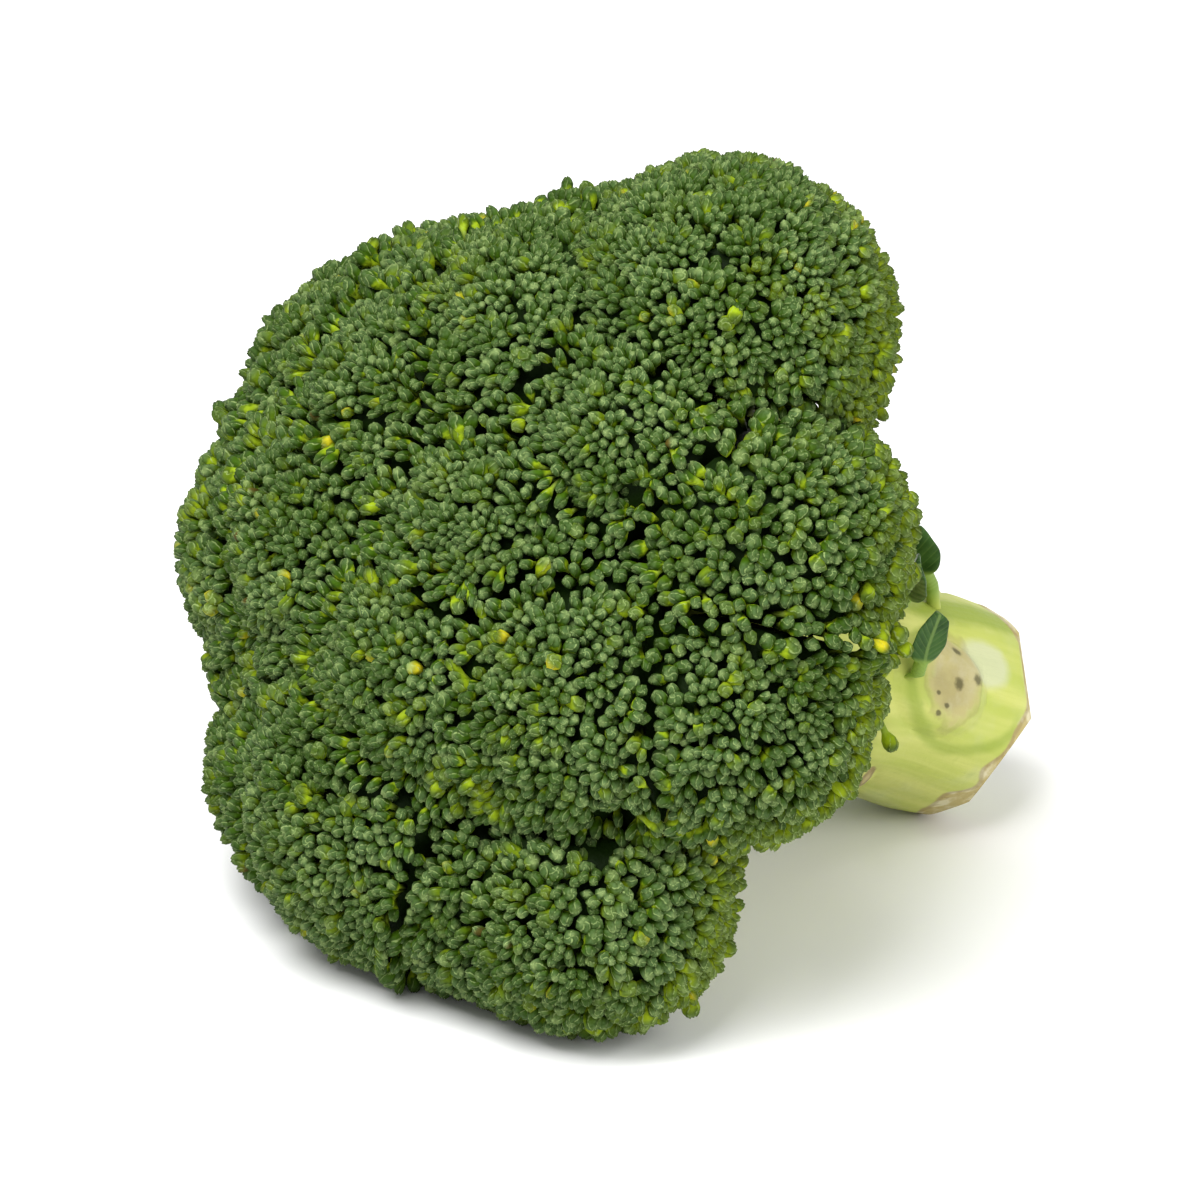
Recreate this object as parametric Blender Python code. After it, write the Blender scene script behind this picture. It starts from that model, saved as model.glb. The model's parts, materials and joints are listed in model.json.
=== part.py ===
"""A broccoli head, cut from its plant and lying on its side.

The head is modelled upright about its stalk: the centre of the stalk's cut end is at zero, the stalk
runs up +Z, and the crown of florets is at the top. It is then laid down on a level surface, where it
rests on the lowest florets of its crown and on the edge of its cut end, with the stalk towards +X.
Lengths are written in millimetres and turned into Blender's metres by MM.
"""

import math

import bmesh
import bpy
import numpy as np
from mathutils import Euler, Matrix, Vector

MM = 0.001

# The stalk. Heights are measured from the cut end along the stalk.
STALK_RADIUS = 20.4
STALK_TOP = 92.0
STALK_SIDES = 24
CROWN_LEVEL = 120.0  # height of the crown's widest level

# Radius of the stalk at a height, both as shares of the radius and the top above.
STALK_PROFILE = [(0.0, 1.0), (0.1, 1.02), (0.3, 0.97), (0.45, 1.0), (0.62, 1.16), (0.8, 1.1), (1.0, 0.75)]

# Each place where a leaf was cut from the stalk: around, in degrees, height, half width, half length,
# and how far its flat face stands out.
LEAF_SCARS = [
    (20.0, 28.0, 8.0, 10.5, 1.2),
    (-58.0, 37.0, 6.0, 6.5, 1.4),
    (112.0, 22.0, 7.5, 9.0, 1.2),
    (-150.0, 30.0, 8.0, 9.0, 1.3),
    (172.0, 48.0, 6.5, 6.0, 1.4),
    (-98.0, 50.0, 6.0, 6.0, 1.2),
]
SCAR_STUB = 3.4  # height of the leaf's stub before the knife's flat cut

# Knife cuts that trim the rim of the cut end: around, in degrees, lean from the end face, and depth.
RIM_CUTS = [(-20.0, 50.0, 3.6), (-55.0, 46.0, 2.8), (38.0, 60.0, 2.2), (140.0, 45.0, 2.6)]

# The crown. Each floret is a ball of buds pressed flat against its neighbours, and the buds' tips lie
# on the ball. Its centre is given around the stalk, in degrees, out from the stalk's axis, and up from
# the crown's widest level. The last number is the ball's radius.
TOP_FLORETS = [(52, 13, 13, 33), (-72, 16, 15, 31)]
MIDDLE_FLORETS = [
    (-174, 28, 9, 34),
    (136, 32, 10, 33),
    (96, 40, 8, 34),
    (56, 41, 9, 32),
    (-14, 31, 8, 34),
    (-101, 43, 2, 35),
]
RIM_FLORETS = [
    (71, 64, 2, 33),
    (30, 52, 0, 31),
    (0, 49, -2, 31),
    (-53, 57, -5, 28),
    (-75, 47, -4, 30),
    (-128, 56, -6, 28),
    (-171, 52, -1, 32),
    (158, 52, -2, 33),
    (131, 42, 0, 34),
    (90, 55, -7, 30),
]
# The two rim florets that carry the crown as it lies, and how far the surface presses them flat.
RESTING_RIM = (3, 5)
GROUND_CUT = 1.2

# A ring's branches leave the stalk at this height, and its florets' undersides are cut level this far
# below the balls' centres.
BRANCH_HEIGHT = {"top": 80.0, "middle": 66.0, "rim": 52.0}
UNDERSIDE_DROP = {"top": 12.0, "middle": 9.0, "rim": 6.0}

# Buds, larger than life so that they stay few. Each has a tip, three shoulders and a valley round it.
BUD_PITCH = 8.6
BUD_RELIEF = 2.7
SHOULDER_DROP = 0.55
SHOULDER_SPREAD = 0.27  # as a share of the pitch
HIDDEN_SHARE = 4  # one lattice point in so many is kept where the buds don't show
NEIGHBOUR_GAP = 0.8
BRANCH_GAP = 0.45

BRANCH_SIDES = 9
# A branch's radius at shares of its length: it narrows from its root and spreads under the floret.
BRANCH_PROFILE = [(0.0, 9.5), (0.35, 8.8), (0.6, 8.8), (0.8, 11.0), (1.0, 16.5)]
BRANCH_LOBES = 3
LOBE_DEPTH = 0.1

# The small leaves left under the crown: around, in degrees, height of the root, how far out and how
# high the tip is, the blade's half width, and the sideways swing of the tip in degrees.
SMALL_LEAVES = [
    (74.0, 24.0, 33.0, 38.5, 5.0, 6.5),
    (25.4, 36.0, 34.5, 40.5, 4.8, 18.5),
    (42.0, 49.0, 50.0, 70.0, 4.0, -5.0),
    (-158.0, 42.0, 55.0, 76.0, 7.0, -5.0),
]
LEAF_SIDES = 8
LEAF_RINGS = 12
LEAF_THICKNESS = 1.3
LEAFSTALK_RADIUS = 1.8
LEAF_ROOT_RADIUS = 23.0  # just clear of the stalk's leaf scars
LEAF_CUP = 0.35  # how far the blade's edges lift, as a share of its half width

# Each finish: its colour and roughness.
FLORET_GREEN = ((0.055, 0.115, 0.035), 0.6)
STALK_GREEN = ((0.5, 0.56, 0.13), 0.45)
LEAF_GREEN = ((0.03, 0.09, 0.02), 0.5)

SHARP_ANGLE = 32.0
GOLDEN_ANGLE = math.pi * (3.0 - math.sqrt(5.0))


def around_axis(degrees, out, up):
    """A point at an angle round the stalk's axis, a distance out from it and a height up it."""
    angle = math.radians(degrees)
    return Vector((out * math.cos(angle), out * math.sin(angle), up))


def read_profile(profile, share):
    """The value of a list of (share, value) at a share, eased between its entries."""
    for (low, value), (high, following) in zip(profile, profile[1:]):
        if share <= high:
            part = (share - low) / (high - low)
            eased = part * part * (3.0 - 2.0 * part)
            return value + (following - value) * eased
    return profile[-1][1]


class Floret:
    """One floret's ball, the direction it faces, and the planes that bound it."""

    def __init__(self, name, ring, around, out, up, radius):
        self.name = name
        self.centre = around_axis(around, out, CROWN_LEVEL + up)
        self.radius = float(radius)
        self.root = Vector((0.0, 0.0, BRANCH_HEIGHT[ring]))
        self.faces = (self.centre - self.root).normalized()
        self.drop = UNDERSIDE_DROP[ring]
        self.planes = [(-self.faces, self.drop)]

    def press_against(self, other):
        """Adds the plane in which two overlapping balls meet, half the gap short of it."""
        between = other.centre - self.centre
        apart = between.length
        if apart >= self.radius + other.radius:
            return
        reach = (apart**2 + self.radius**2 - other.radius**2) / (2.0 * apart)
        self.planes.append((between / apart, reach - NEIGHBOUR_GAP / 2.0))

    def rest_on(self, down, level):
        """Adds the surface, whose points lie at a level along the direction down."""
        self.planes.append((down, level - self.centre.dot(down)))

    def reach(self, direction):
        """How far the planes let this floret go from its centre in a direction."""
        reach = math.inf
        for normal, distance in self.planes:
            towards = direction.dot(normal)
            if towards > 1e-6:
                reach = min(reach, distance / towards)
        return reach


def make_florets():
    """All florets, ring by ring, each pressed against its neighbours."""
    florets = []
    for ring, rows in (("top", TOP_FLORETS), ("middle", MIDDLE_FLORETS), ("rim", RIM_FLORETS)):
        for number, row in enumerate(rows, start=1):
            florets.append(Floret(f"floret_{ring}_{number}", ring, *row))
    for floret in florets:
        for other in florets:
            if other is not floret:
                floret.press_against(other)
    return florets


def resting_direction(florets):
    """The direction down, in the upright head's axes, when two rim florets and the cut end touch."""
    rim = [floret for floret in florets if "rim" in floret.name]
    first, second = (rim[index] for index in RESTING_RIM)
    level = 0.0
    down = Vector((0.0, -1.0, -0.5)).normalized()
    for _ in range(40):
        # The cut end touches at one point of its rim, which turns with the direction down.
        edge = Vector((down.x, down.y, 0.0)).normalized() * STALK_RADIUS
        # down = start + level * slope puts all three contacts at one level, and its length is one.
        contacts = Matrix((first.centre, second.centre, edge)).inverted()
        start = contacts @ Vector((-first.radius, -second.radius, 0.0))
        slope = contacts @ Vector((1.0, 1.0, 1.0))
        a, b, c = slope.dot(slope), 2.0 * start.dot(slope), start.dot(start) - 1.0
        root = math.sqrt(b * b - 4.0 * a * c)
        levels = [(-b - root) / (2.0 * a), (-b + root) / (2.0 * a)]
        level = max(levels, key=lambda value: down.dot(start + value * slope))
        down = start + level * slope
    return down, level


def sphere_faces(directions):
    """The triangles that join directions from one centre into a closed ball."""
    hull = bmesh.new()
    for index, direction in enumerate(directions):
        hull.verts.new(direction)
    hull.verts.index_update()
    bmesh.ops.convex_hull(hull, input=hull.verts, use_existing_faces=False)
    bmesh.ops.triangulate(hull, faces=hull.faces[:])
    hull.verts.index_update()
    faces = [[vertex.index for vertex in face.verts] for face in hull.faces]
    hull.free()
    return faces


def spiral_directions(count):
    """Directions spread evenly over a ball along a golden spiral."""
    found = []
    for step in range(count):
        height = 1.0 - (2.0 * step + 1.0) / count
        ring = math.sqrt(1.0 - height * height)
        angle = GOLDEN_ANGLE * step
        found.append(Vector((ring * math.cos(angle), ring * math.sin(angle), height)))
    return found


def floret_mesh(floret, number):
    """The floret's closed skin about its own centre: buds where it shows, plain where it is pressed."""
    random = np.random.default_rng(number)
    area = 4.0 * math.pi * floret.radius**2
    count = round(area / (BUD_PITCH**2 * math.sqrt(0.75)))
    turn = Euler(random.uniform(0.0, math.tau, 3)).to_matrix()
    lattice = [turn @ direction for direction in spiral_directions(count)]
    shows = [floret.reach(direction) > floret.radius - 0.5 * BUD_RELIEF for direction in lattice]

    points = []
    for index, direction in enumerate(lattice):
        if not shows[index]:
            if index % HIDDEN_SHARE == 0:
                points.append((direction, floret.radius))
            continue
        points.append((direction, floret.radius - random.uniform(0.0, 0.3)))
        side = direction.orthogonal().normalized()
        over = direction.cross(side)
        start = random.uniform(0.0, math.tau)
        for corner in range(3):
            angle = start + corner * math.tau / 3.0
            lean = SHOULDER_SPREAD * BUD_PITCH / floret.radius
            shoulder = direction + lean * (math.cos(angle) * side + math.sin(angle) * over)
            points.append((shoulder.normalized(), floret.radius - SHOULDER_DROP))
    for face in sphere_faces(lattice):
        if any(shows[corner] for corner in face):
            valley = sum((lattice[corner] for corner in face), Vector()).normalized()
            points.append((valley, floret.radius - BUD_RELIEF))

    vertices = []
    for direction, radius in points:
        # Where the floret is pressed, its valleys close up and the skin is flat.
        reach = floret.reach(direction)
        vertices.append(direction * (reach if reach < floret.radius else radius) * MM)
    faces = sphere_faces([direction for direction, _ in points])
    return vertices, faces


def loft(rings):
    """Vertices and faces of a closed tube through rings of points, with its two ends filled."""
    sides = len(rings[0])
    vertices = [point for ring in rings for point in ring]
    faces = []
    for level in range(len(rings) - 1):
        low, high = level * sides, (level + 1) * sides
        for side in range(sides):
            following = (side + 1) % sides
            faces.append((low + side, low + following, high + following, high + side))
    faces.append(tuple(reversed(range(sides))))
    faces.append(tuple(range((len(rings) - 1) * sides, len(rings) * sides)))
    return vertices, faces


def new_object(name, vertices, faces, colour):
    """A mesh object with outward faces and a plain material."""
    mesh = bpy.data.meshes.new(name)
    mesh.from_pydata([tuple(vertex) for vertex in vertices], [], faces)
    shape = bmesh.new()
    shape.from_mesh(mesh)
    bmesh.ops.triangulate(shape, faces=shape.faces[:])
    bmesh.ops.recalc_face_normals(shape, faces=shape.faces[:])
    shape.to_mesh(mesh)
    shape.free()
    mesh.materials.append(colour)
    obj = bpy.data.objects.new(name, mesh)
    bpy.context.scene.collection.objects.link(obj)
    return obj


def shade_smooth(obj):
    """Smooth shading that keeps the knife's edges sharp."""
    obj.data.shade_smooth()
    obj.data.set_sharp_from_angle(angle=math.radians(SHARP_ANGLE))


def make_material(name, colour, roughness):
    """A plain Principled finish."""
    material = bpy.data.materials.new(name)
    material.use_nodes = True
    shader = material.node_tree.nodes["Principled BSDF"]
    shader.inputs["Base Color"].default_value = (*colour, 1.0)
    shader.inputs["Roughness"].default_value = roughness
    shader.inputs["Metallic"].default_value = 0.0
    return material


def stalk_radius(around, height):
    """The stalk's radius at an angle in radians and a height, with its leaf scars."""
    ridges = 0.022 * math.cos(3.0 * around + 0.4) + 0.016 * math.cos(5.0 * around + 1.1)
    plain = STALK_RADIUS * read_profile(STALK_PROFILE, height / STALK_TOP) * (1.0 + ridges)
    radius = plain
    for degrees, level, half_width, half_length, stands_out in LEAF_SCARS:
        turn = around - math.radians(degrees)
        turn = math.atan2(math.sin(turn), math.cos(turn))
        aside = plain * turn / half_width
        along = (height - level) / half_length
        away = aside * aside + along * along
        if away < 1.6:
            stub = plain + SCAR_STUB * (1.0 - away / 1.6)
            flat = (STALK_RADIUS + stands_out) / max(math.cos(turn), 0.5)
            radius = max(radius, min(stub, flat))
    return radius


def stalk_rings():
    """Rings of the trunk from the cut end up, closer where the leaf scars are."""
    rings = []
    for height in [0.0, 4.0, 9.0, 14.0, 19.0, 24.0, 29.0, 34.0, 39.0, 44.0, 50.0, 57.0, 66.0, 78.0, STALK_TOP]:
        ring = []
        for side in range(STALK_SIDES):
            around = math.tau * side / STALK_SIDES
            radius = stalk_radius(around, height)
            ring.append(Vector((radius * math.cos(around), radius * math.sin(around), height)) * MM)
        rings.append(ring)
    return rings


def slice_off(obj, point, normal):
    """Cuts away what lies beyond a plane and closes the cut."""
    shape = bmesh.new()
    shape.from_mesh(obj.data)
    everything = shape.verts[:] + shape.edges[:] + shape.faces[:]
    cut = bmesh.ops.bisect_plane(
        shape, geom=everything, dist=1e-7, plane_co=point, plane_no=normal, clear_outer=True
    )
    edges = [part for part in cut["geom_cut"] if isinstance(part, bmesh.types.BMEdge)]
    bmesh.ops.edgeloop_fill(shape, edges=edges)
    bmesh.ops.triangulate(shape, faces=shape.faces[:])
    bmesh.ops.recalc_face_normals(shape, faces=shape.faces[:])
    shape.to_mesh(obj.data)
    shape.free()


def branch_rings(floret):
    """Rings of one branch, from inside the stalk to just under its floret."""
    end = floret.centre - floret.faces * (floret.drop + BRANCH_GAP)
    side = floret.faces.orthogonal().normalized()
    over = floret.faces.cross(side)
    margin = NEIGHBOUR_GAP
    rings = []
    for share, radius in BRANCH_PROFILE:
        middle = floret.root.lerp(end, share)
        ring = []
        for corner in range(BRANCH_SIDES):
            angle = math.tau * corner / BRANCH_SIDES
            direction = math.cos(angle) * side + math.sin(angle) * over
            lobed = radius * (1.0 + LOBE_DEPTH * share * math.cos(BRANCH_LOBES * angle))
            for normal, distance in floret.planes[1:]:
                towards = direction.dot(normal)
                room = distance - margin - (middle - floret.centre).dot(normal)
                if share > 0.5 and towards > 1e-6:
                    lobed = min(lobed, max(room / towards, 2.0))
            ring.append((middle + direction * lobed) * MM)
        rings.append(ring)
    return rings


def make_stalk(florets, colour, down, level):
    """The trunk with its branches, joined into one body and trimmed by the knife."""
    trunk = new_object("stalk", *loft(stalk_rings()), colour)
    for degrees, lean, depth in RIM_CUTS:
        outward = around_axis(degrees, 1.0, 0.0)
        normal = outward * math.sin(math.radians(lean)) - Vector((0.0, 0.0, math.cos(math.radians(lean))))
        rim = outward * STALK_RADIUS
        slice_off(trunk, (rim - normal * depth) * MM, normal)
    slice_off(trunk, down * level * MM, down)

    branches = bpy.data.collections.new("branches")
    bpy.context.scene.collection.children.link(branches)
    for floret in florets:
        branch = new_object(f"branch_to_{floret.name}", *loft(branch_rings(floret)), colour)
        bpy.context.scene.collection.objects.unlink(branch)
        branches.objects.link(branch)

    join = trunk.modifiers.new("join branches", "BOOLEAN")
    join.operation = "UNION"
    join.operand_type = "COLLECTION"
    join.collection = branches
    bpy.context.view_layer.objects.active = trunk
    bpy.ops.object.modifier_apply(modifier=join.name)
    for branch in list(branches.objects):
        bpy.data.objects.remove(branch)
    bpy.data.collections.remove(branches)
    shade_smooth(trunk)
    return trunk


def leaf_rings(around, root_height, tip_out, tip_height, half_width, swing):
    """Rings of a small leaf: a round leafstalk that spreads into a cupped blade."""
    root = around_axis(around, LEAF_ROOT_RADIUS, root_height)
    tip = around_axis(around + swing, tip_out, tip_height)
    bend = around_axis(around, 0.72 * tip_out, root_height + 0.1 * (tip_height - root_height))
    rings = []
    for step in range(LEAF_RINGS):
        share = step / (LEAF_RINGS - 1)
        middle = root * (1.0 - share) ** 2 + bend * (2.0 * share * (1.0 - share)) + tip * share**2
        along = ((bend - root) * (1.0 - share) + (tip - bend) * share).normalized()
        across = along.cross(middle.xy.to_3d()).normalized()
        up = across.cross(along)
        blade = max(0.0, (share - 0.45) / 0.55)
        spread = math.sin(math.pi * min(1.0, blade * 0.93 + 0.02)) ** 0.7
        width = LEAFSTALK_RADIUS * (1.0 - 0.3 * blade) + (half_width - LEAFSTALK_RADIUS) * spread * (blade > 0.0)
        width = max(width * (1.0 - 0.75 * (blade > 0.97)), 0.9)
        thick = LEAFSTALK_RADIUS + (0.5 * LEAF_THICKNESS - LEAFSTALK_RADIUS) * min(1.0, 2.5 * blade)
        ring = []
        for corner in range(LEAF_SIDES):
            angle = math.tau * corner / LEAF_SIDES
            aside = width * math.cos(angle)
            cup = LEAF_CUP * (aside / half_width) ** 2 * half_width * blade
            ring.append((middle + across * aside + up * (thick * math.sin(angle) + cup)) * MM)
        rings.append(ring)
    return rings


def lay_down(objects, florets, down, level):
    """Parents everything to an empty that turns the head from upright to lying, stalk towards +X.

    The head's box is centred over the empty's place, and the surface is at height zero.
    """
    up = -down
    stalkward = Vector((0.0, 0.0, -1.0))
    forward = (stalkward - up * stalkward.dot(up)).normalized()
    aside = up.cross(forward)
    turn = Matrix((forward, aside, up))
    crown = [(turn @ floret.centre, floret.radius) for floret in florets]
    stalk_axis = turn @ stalkward
    cut_end = STALK_RADIUS * math.sqrt(1.0 - stalk_axis.x**2)
    low_x = min(centre.x - radius for centre, radius in crown)
    low_y = min(centre.y - radius for centre, radius in crown)
    high_y = max(centre.y + radius for centre, radius in crown)
    middle = Vector(((low_x + cut_end) / 2.0, (low_y + high_y) / 2.0, -level))

    holder = bpy.data.objects.new("head_lying", None)
    bpy.context.scene.collection.objects.link(holder)
    holder.matrix_world = Matrix.Translation(-middle * MM) @ turn.to_4x4()
    for obj in objects:
        obj.parent = holder


def main():
    for obj in list(bpy.data.objects):
        bpy.data.objects.remove(obj)
    floret_green = make_material("florets", *FLORET_GREEN)
    stalk_green = make_material("stalk", *STALK_GREEN)
    leaf_green = make_material("small_leaves", *LEAF_GREEN)

    florets = make_florets()
    down, level = resting_direction(florets)
    level -= GROUND_CUT
    objects = []
    for floret in florets:
        floret.rest_on(down, level)
    for number, floret in enumerate(florets):
        obj = new_object(floret.name, *floret_mesh(floret, number), floret_green)
        obj.location = floret.centre * MM
        objects.append(obj)
    objects.append(make_stalk(florets, stalk_green, down, level))
    for number, row in enumerate(SMALL_LEAVES, start=1):
        leaf = new_object(f"small_leaf_{number}", *loft(leaf_rings(*row)), leaf_green)
        shade_smooth(leaf)
        objects.append(leaf)
    lay_down(objects, florets, down, level)


main()
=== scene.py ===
"""A broccoli head lying on its side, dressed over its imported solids.

The head is worked out upright: the centre of the stalk's cut end is at zero, the stalk runs up +Z, and
the crown of florets is at the top. Lengths there are in millimetres. lying_frame() then gives the turn
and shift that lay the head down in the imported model's own metres.
"""

import json
import math

import bmesh
import bpy
import numpy as np
from mathutils import Matrix, Vector

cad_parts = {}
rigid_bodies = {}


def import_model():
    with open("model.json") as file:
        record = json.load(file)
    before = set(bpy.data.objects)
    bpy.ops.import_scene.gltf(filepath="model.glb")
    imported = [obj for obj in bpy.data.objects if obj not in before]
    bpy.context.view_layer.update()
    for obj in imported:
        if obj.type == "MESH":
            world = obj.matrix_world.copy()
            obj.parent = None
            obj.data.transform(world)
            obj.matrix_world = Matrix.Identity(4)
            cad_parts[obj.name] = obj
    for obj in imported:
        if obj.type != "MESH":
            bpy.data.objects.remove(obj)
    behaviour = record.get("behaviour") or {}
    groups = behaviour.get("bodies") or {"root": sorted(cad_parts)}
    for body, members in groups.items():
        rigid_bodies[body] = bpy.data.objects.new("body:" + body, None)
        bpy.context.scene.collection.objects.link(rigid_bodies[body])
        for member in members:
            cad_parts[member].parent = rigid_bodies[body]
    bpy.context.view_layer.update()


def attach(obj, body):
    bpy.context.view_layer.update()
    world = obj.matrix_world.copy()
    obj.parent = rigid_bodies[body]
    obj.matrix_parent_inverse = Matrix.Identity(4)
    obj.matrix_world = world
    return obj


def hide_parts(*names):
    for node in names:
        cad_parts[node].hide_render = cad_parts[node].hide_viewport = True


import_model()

MM = 0.001
GOLDEN_ANGLE = math.pi * (3.0 - math.sqrt(5.0))

# The stalk, upright, as the solids have it.
STALK_RADIUS = 20.4
STALK_TOP = 92.0
CROWN_LEVEL = 120.0
STALK_PROFILE = [(0.0, 1.0), (0.1, 1.02), (0.3, 0.97), (0.45, 1.0), (0.62, 1.16), (0.8, 1.1), (1.0, 0.75)]

# Leaf scars: around, in degrees, height, half width, half length, and how far the flat stands out.
LEAF_SCARS = [
    (20.0, 28.0, 8.0, 10.5, 1.2),
    (-58.0, 37.0, 6.0, 6.5, 1.4),
    (112.0, 22.0, 7.5, 9.0, 1.2),
    (-150.0, 30.0, 8.0, 9.0, 1.3),
    (172.0, 48.0, 6.5, 6.0, 1.4),
    (-98.0, 50.0, 6.0, 6.0, 1.2),
]
SCAR_STUB = 3.4
SCAR_EDGE = 1.6  # where a scar's raised flat ends, in sizes of the scar, squared
SCAR_RING = 1.32  # where a groove runs round a scar, in sizes of the scar
SCAR_GROOVE = 0.35  # how deep that groove is
SCAR_GROOVE_WIDTH = 0.07
TRUNK_SIDES = 144
TRUNK_RINGS = 90
CREASE_ANGLE = 35.0  # edges of the stalk that bend more than this stay sharp

# Knife cuts round the rim of the cut end: around, in degrees, lean from the end face, and depth.
RIM_CUTS = [(-20.0, 50.0, 3.6), (-55.0, 46.0, 2.8), (38.0, 60.0, 2.2), (140.0, 45.0, 2.6)]

# Each floret's ball: around the stalk in degrees, out from its axis, up from the crown's widest level,
# and the radius on which the buds' tips lie.
TOP_FLORETS = [(52, 13, 13, 33), (-72, 16, 15, 31)]
MIDDLE_FLORETS = [
    (-174, 28, 9, 34),
    (136, 32, 10, 33),
    (96, 40, 8, 34),
    (56, 41, 9, 32),
    (-14, 31, 8, 34),
    (-101, 43, 2, 35),
]
RIM_FLORETS = [
    (71, 64, 2, 33),
    (30, 52, 0, 31),
    (0, 49, -2, 31),
    (-53, 57, -5, 28),
    (-75, 47, -4, 30),
    (-128, 56, -6, 28),
    (-171, 52, -1, 32),
    (158, 52, -2, 33),
    (131, 42, 0, 34),
    (90, 55, -7, 30),
]
RESTING_RIM = (3, 5)  # the two rim florets that the head lies on
GROUND_CUT = 1.2  # how much of them is pressed flat
BRANCH_HEIGHT = {"top": 80.0, "middle": 66.0, "rim": 52.0}
UNDERSIDE_DROP = {"top": 12.0, "middle": 9.0, "rim": 6.0}  # from a ball's middle to its underside
NEIGHBOUR_GAP = 0.8

# Flower buds grow in clusters. Each cluster is a small dome of buds whose stems meet below it.
BUD_PITCH = 2.65
BUD_GAP = 0.83  # the least distance between two buds' middles, in pitches
BUD_MIDDLE = 1.5  # how far a bud's middle lies under its tip
BUD_JITTER = 0.08  # how far buds stand off their spiral, in pitches
SPIRAL_SPACING = 0.525  # how fast a cluster's spiral opens, in pitches
CLUSTER_PITCH = 9.4
CLUSTER_REACH = 0.75  # how far a cluster's spiral goes, in pitches of the clusters
CLUSTER_JITTER = 0.4
CLUSTER_SCALE = (0.78, 1.12)  # some clusters have smaller buds than others
# The buds' size on each ring of florets, or on one floret.
BUD_SCALE = {"top": 0.92, "middle": 0.94, "rim": 1.04, "floret_rim_1": 0.85}
CLUSTER_CURVE = 8.0  # the radius of a cluster's own dome
CLUSTER_SPLAY = 1.45  # how far the buds at a cluster's edge lean out
CLUSTER_DOME = 0.75  # how much of that dome's drop the buds follow
CLUSTER_PAST = 0.15  # how far past the underside's edge a cluster's middle may lie
RIM_SCALE = 0.14  # how much larger the buds round the crown's rim are
RIM_UNEVEN = (-0.7, 0.9)  # how much lower or higher single buds stand there
CLUSTER_SINK = 1.4  # how much lower some clusters lie than others
FLORET_SWELL = 0.9  # how much a floret's own surface rises and falls
SWELL_WAVES = 3.6  # how close together it does so
SWELL_ABOVE = 0.9  # how far the highest clusters' middles rise above the floret's ball
FILL_SINK = 2.3  # how much lower the buds between the clusters lie
FILL_AREA = 2.0  # the area for each place that is tried for such a bud
DEEPEST_TIP = 3.0
JOIN_RISE = 4.5  # how much higher the buds stand where two florets meet
JOIN_WIDTH = 14.0  # how far from there the rise begins
LOOSE_FLORETS = {"floret_rim_1": 0.15, "floret_rim_4": 0.35}  # florets with a deeper crease round them
PAST_NEIGHBOUR = 2.1  # how far a bud's tip may lean past the plane of a neighbour
# Dark holes where florets don't quite meet: the middle, the size and the depth of each. No bud stands
# where a hole is deeper than HOLE_BARE.
HOLE_BARE = 4.0
DARK_HOLES = [
    ((50.6, -33.4, 136.6), 6.4, 11.0),
    ((55.4, -29.2, 134.8), 5.6, 10.0),
    ((42.4, 28.1, 153.6), 4.4, 6.5),
    ((4.2, -35.1, 158.7), 4.0, 6.0),
    ((13.1, -41.2, 149.7), 3.8, 6.0),
]
UNDERSIDE_FROM = -0.5  # no bud grows further back than this, as a cosine from where the floret faces
# Shares of buds that stick out, have dried brown, have turned yellow, and of clusters that are greener.
STRAY_SHARE = 0.08
BROWN_SHARE = 0.003
YELLOW_SHARE = 0.016
FRESH_SHARE = 0.25
STRAY_RISE = 0.6  # how far the buds that stick out do so
BROWN_TONE = 1.4  # the tone that the finish shows as dried brown
RIPEST_GREEN = 0.64  # the ripeness of buds past which they turn yellow
BUD_SIDES = 8
# A bud and its stem from the bottom up: how far below the tip, and the radius there.
BUD_PROFILE = [(7.6, 0.4), (3.9, 0.62), (2.5, 1.32), (1.2, 1.42), (0.38, 1.05), (0.02, 0.5)]
SEPAL_GROOVE = 0.86  # the grooves' distance from the bud's axis, as a share of the sepals'
SEPAL_TIP = 0.26  # how far the sepals' tips stand above the grooves between them
BUD_DIMPLE = 0.25  # how deep the middle of the tip is
BUD_LENGTH = 5.0  # the length of bud and stem over which the finish changes
BUD_RADIUS = 1.44  # the length in which a bud's own pattern is measured
# The spread of the buds' sizes: across, the other way across, and along.
BUD_WIDE = (0.88, 1.2)
BUD_THICK = (0.84, 1.04)
BUD_TALL = (0.95, 1.2)
BUD_LEAN = 0.22  # how far a bud leans to one side
# Single buds that hang out of the crown: the floret, the tip, and a point down the stem.
LOOSE_BUDS = [
    ("floret_rim_4", (53.8, -60.2, 98.4), (50.6, -55.4, 100.6)),
    ("floret_rim_4", (52.9, -37.0, 96.3), (51.0, -39.9, 98.3)),
    ("floret_rim_4", (53.3, -45.3, 94.2), (50.7, -47.9, 96.9)),
    ("floret_rim_4", (54.1, -50.4, 95.6), (51.8, -50.8, 97.6)),
    ("floret_rim_4", (52.8, -33.5, 97.3), (50.8, -35.5, 99.3)),
    ("floret_rim_4", (50.4, -63.3, 101.8), (48.2, -60.8, 103.5)),
    ("stalk", (25.9, -6.8, 41.6), (21.4, -1.1, 44.6)),
]
CORE_DEPTH = 6.0  # the soft inside starts this far under the buds' tips
CORE_CONE = 0.55  # how steeply its underside rises towards the rim

BRANCH_SIDES = 42
BRANCH_RINGS = 16
BRANCH_PROFILE = [(0.0, 9.5), (0.35, 8.8), (0.6, 8.8), (0.8, 11.0), (1.0, 16.5)]
BRANCH_LOBES = 7
LOBE_DEPTH = 0.3
TWIG_START = 9.0  # how far from the branch's axis the twigs start
TWIG_END = 8.0  # how far under the buds' tips they end
TWIG_RADIUS = (2.5, 1.2)
TWIG_SIDES = 7
TWIG_RINGS = 7

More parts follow.
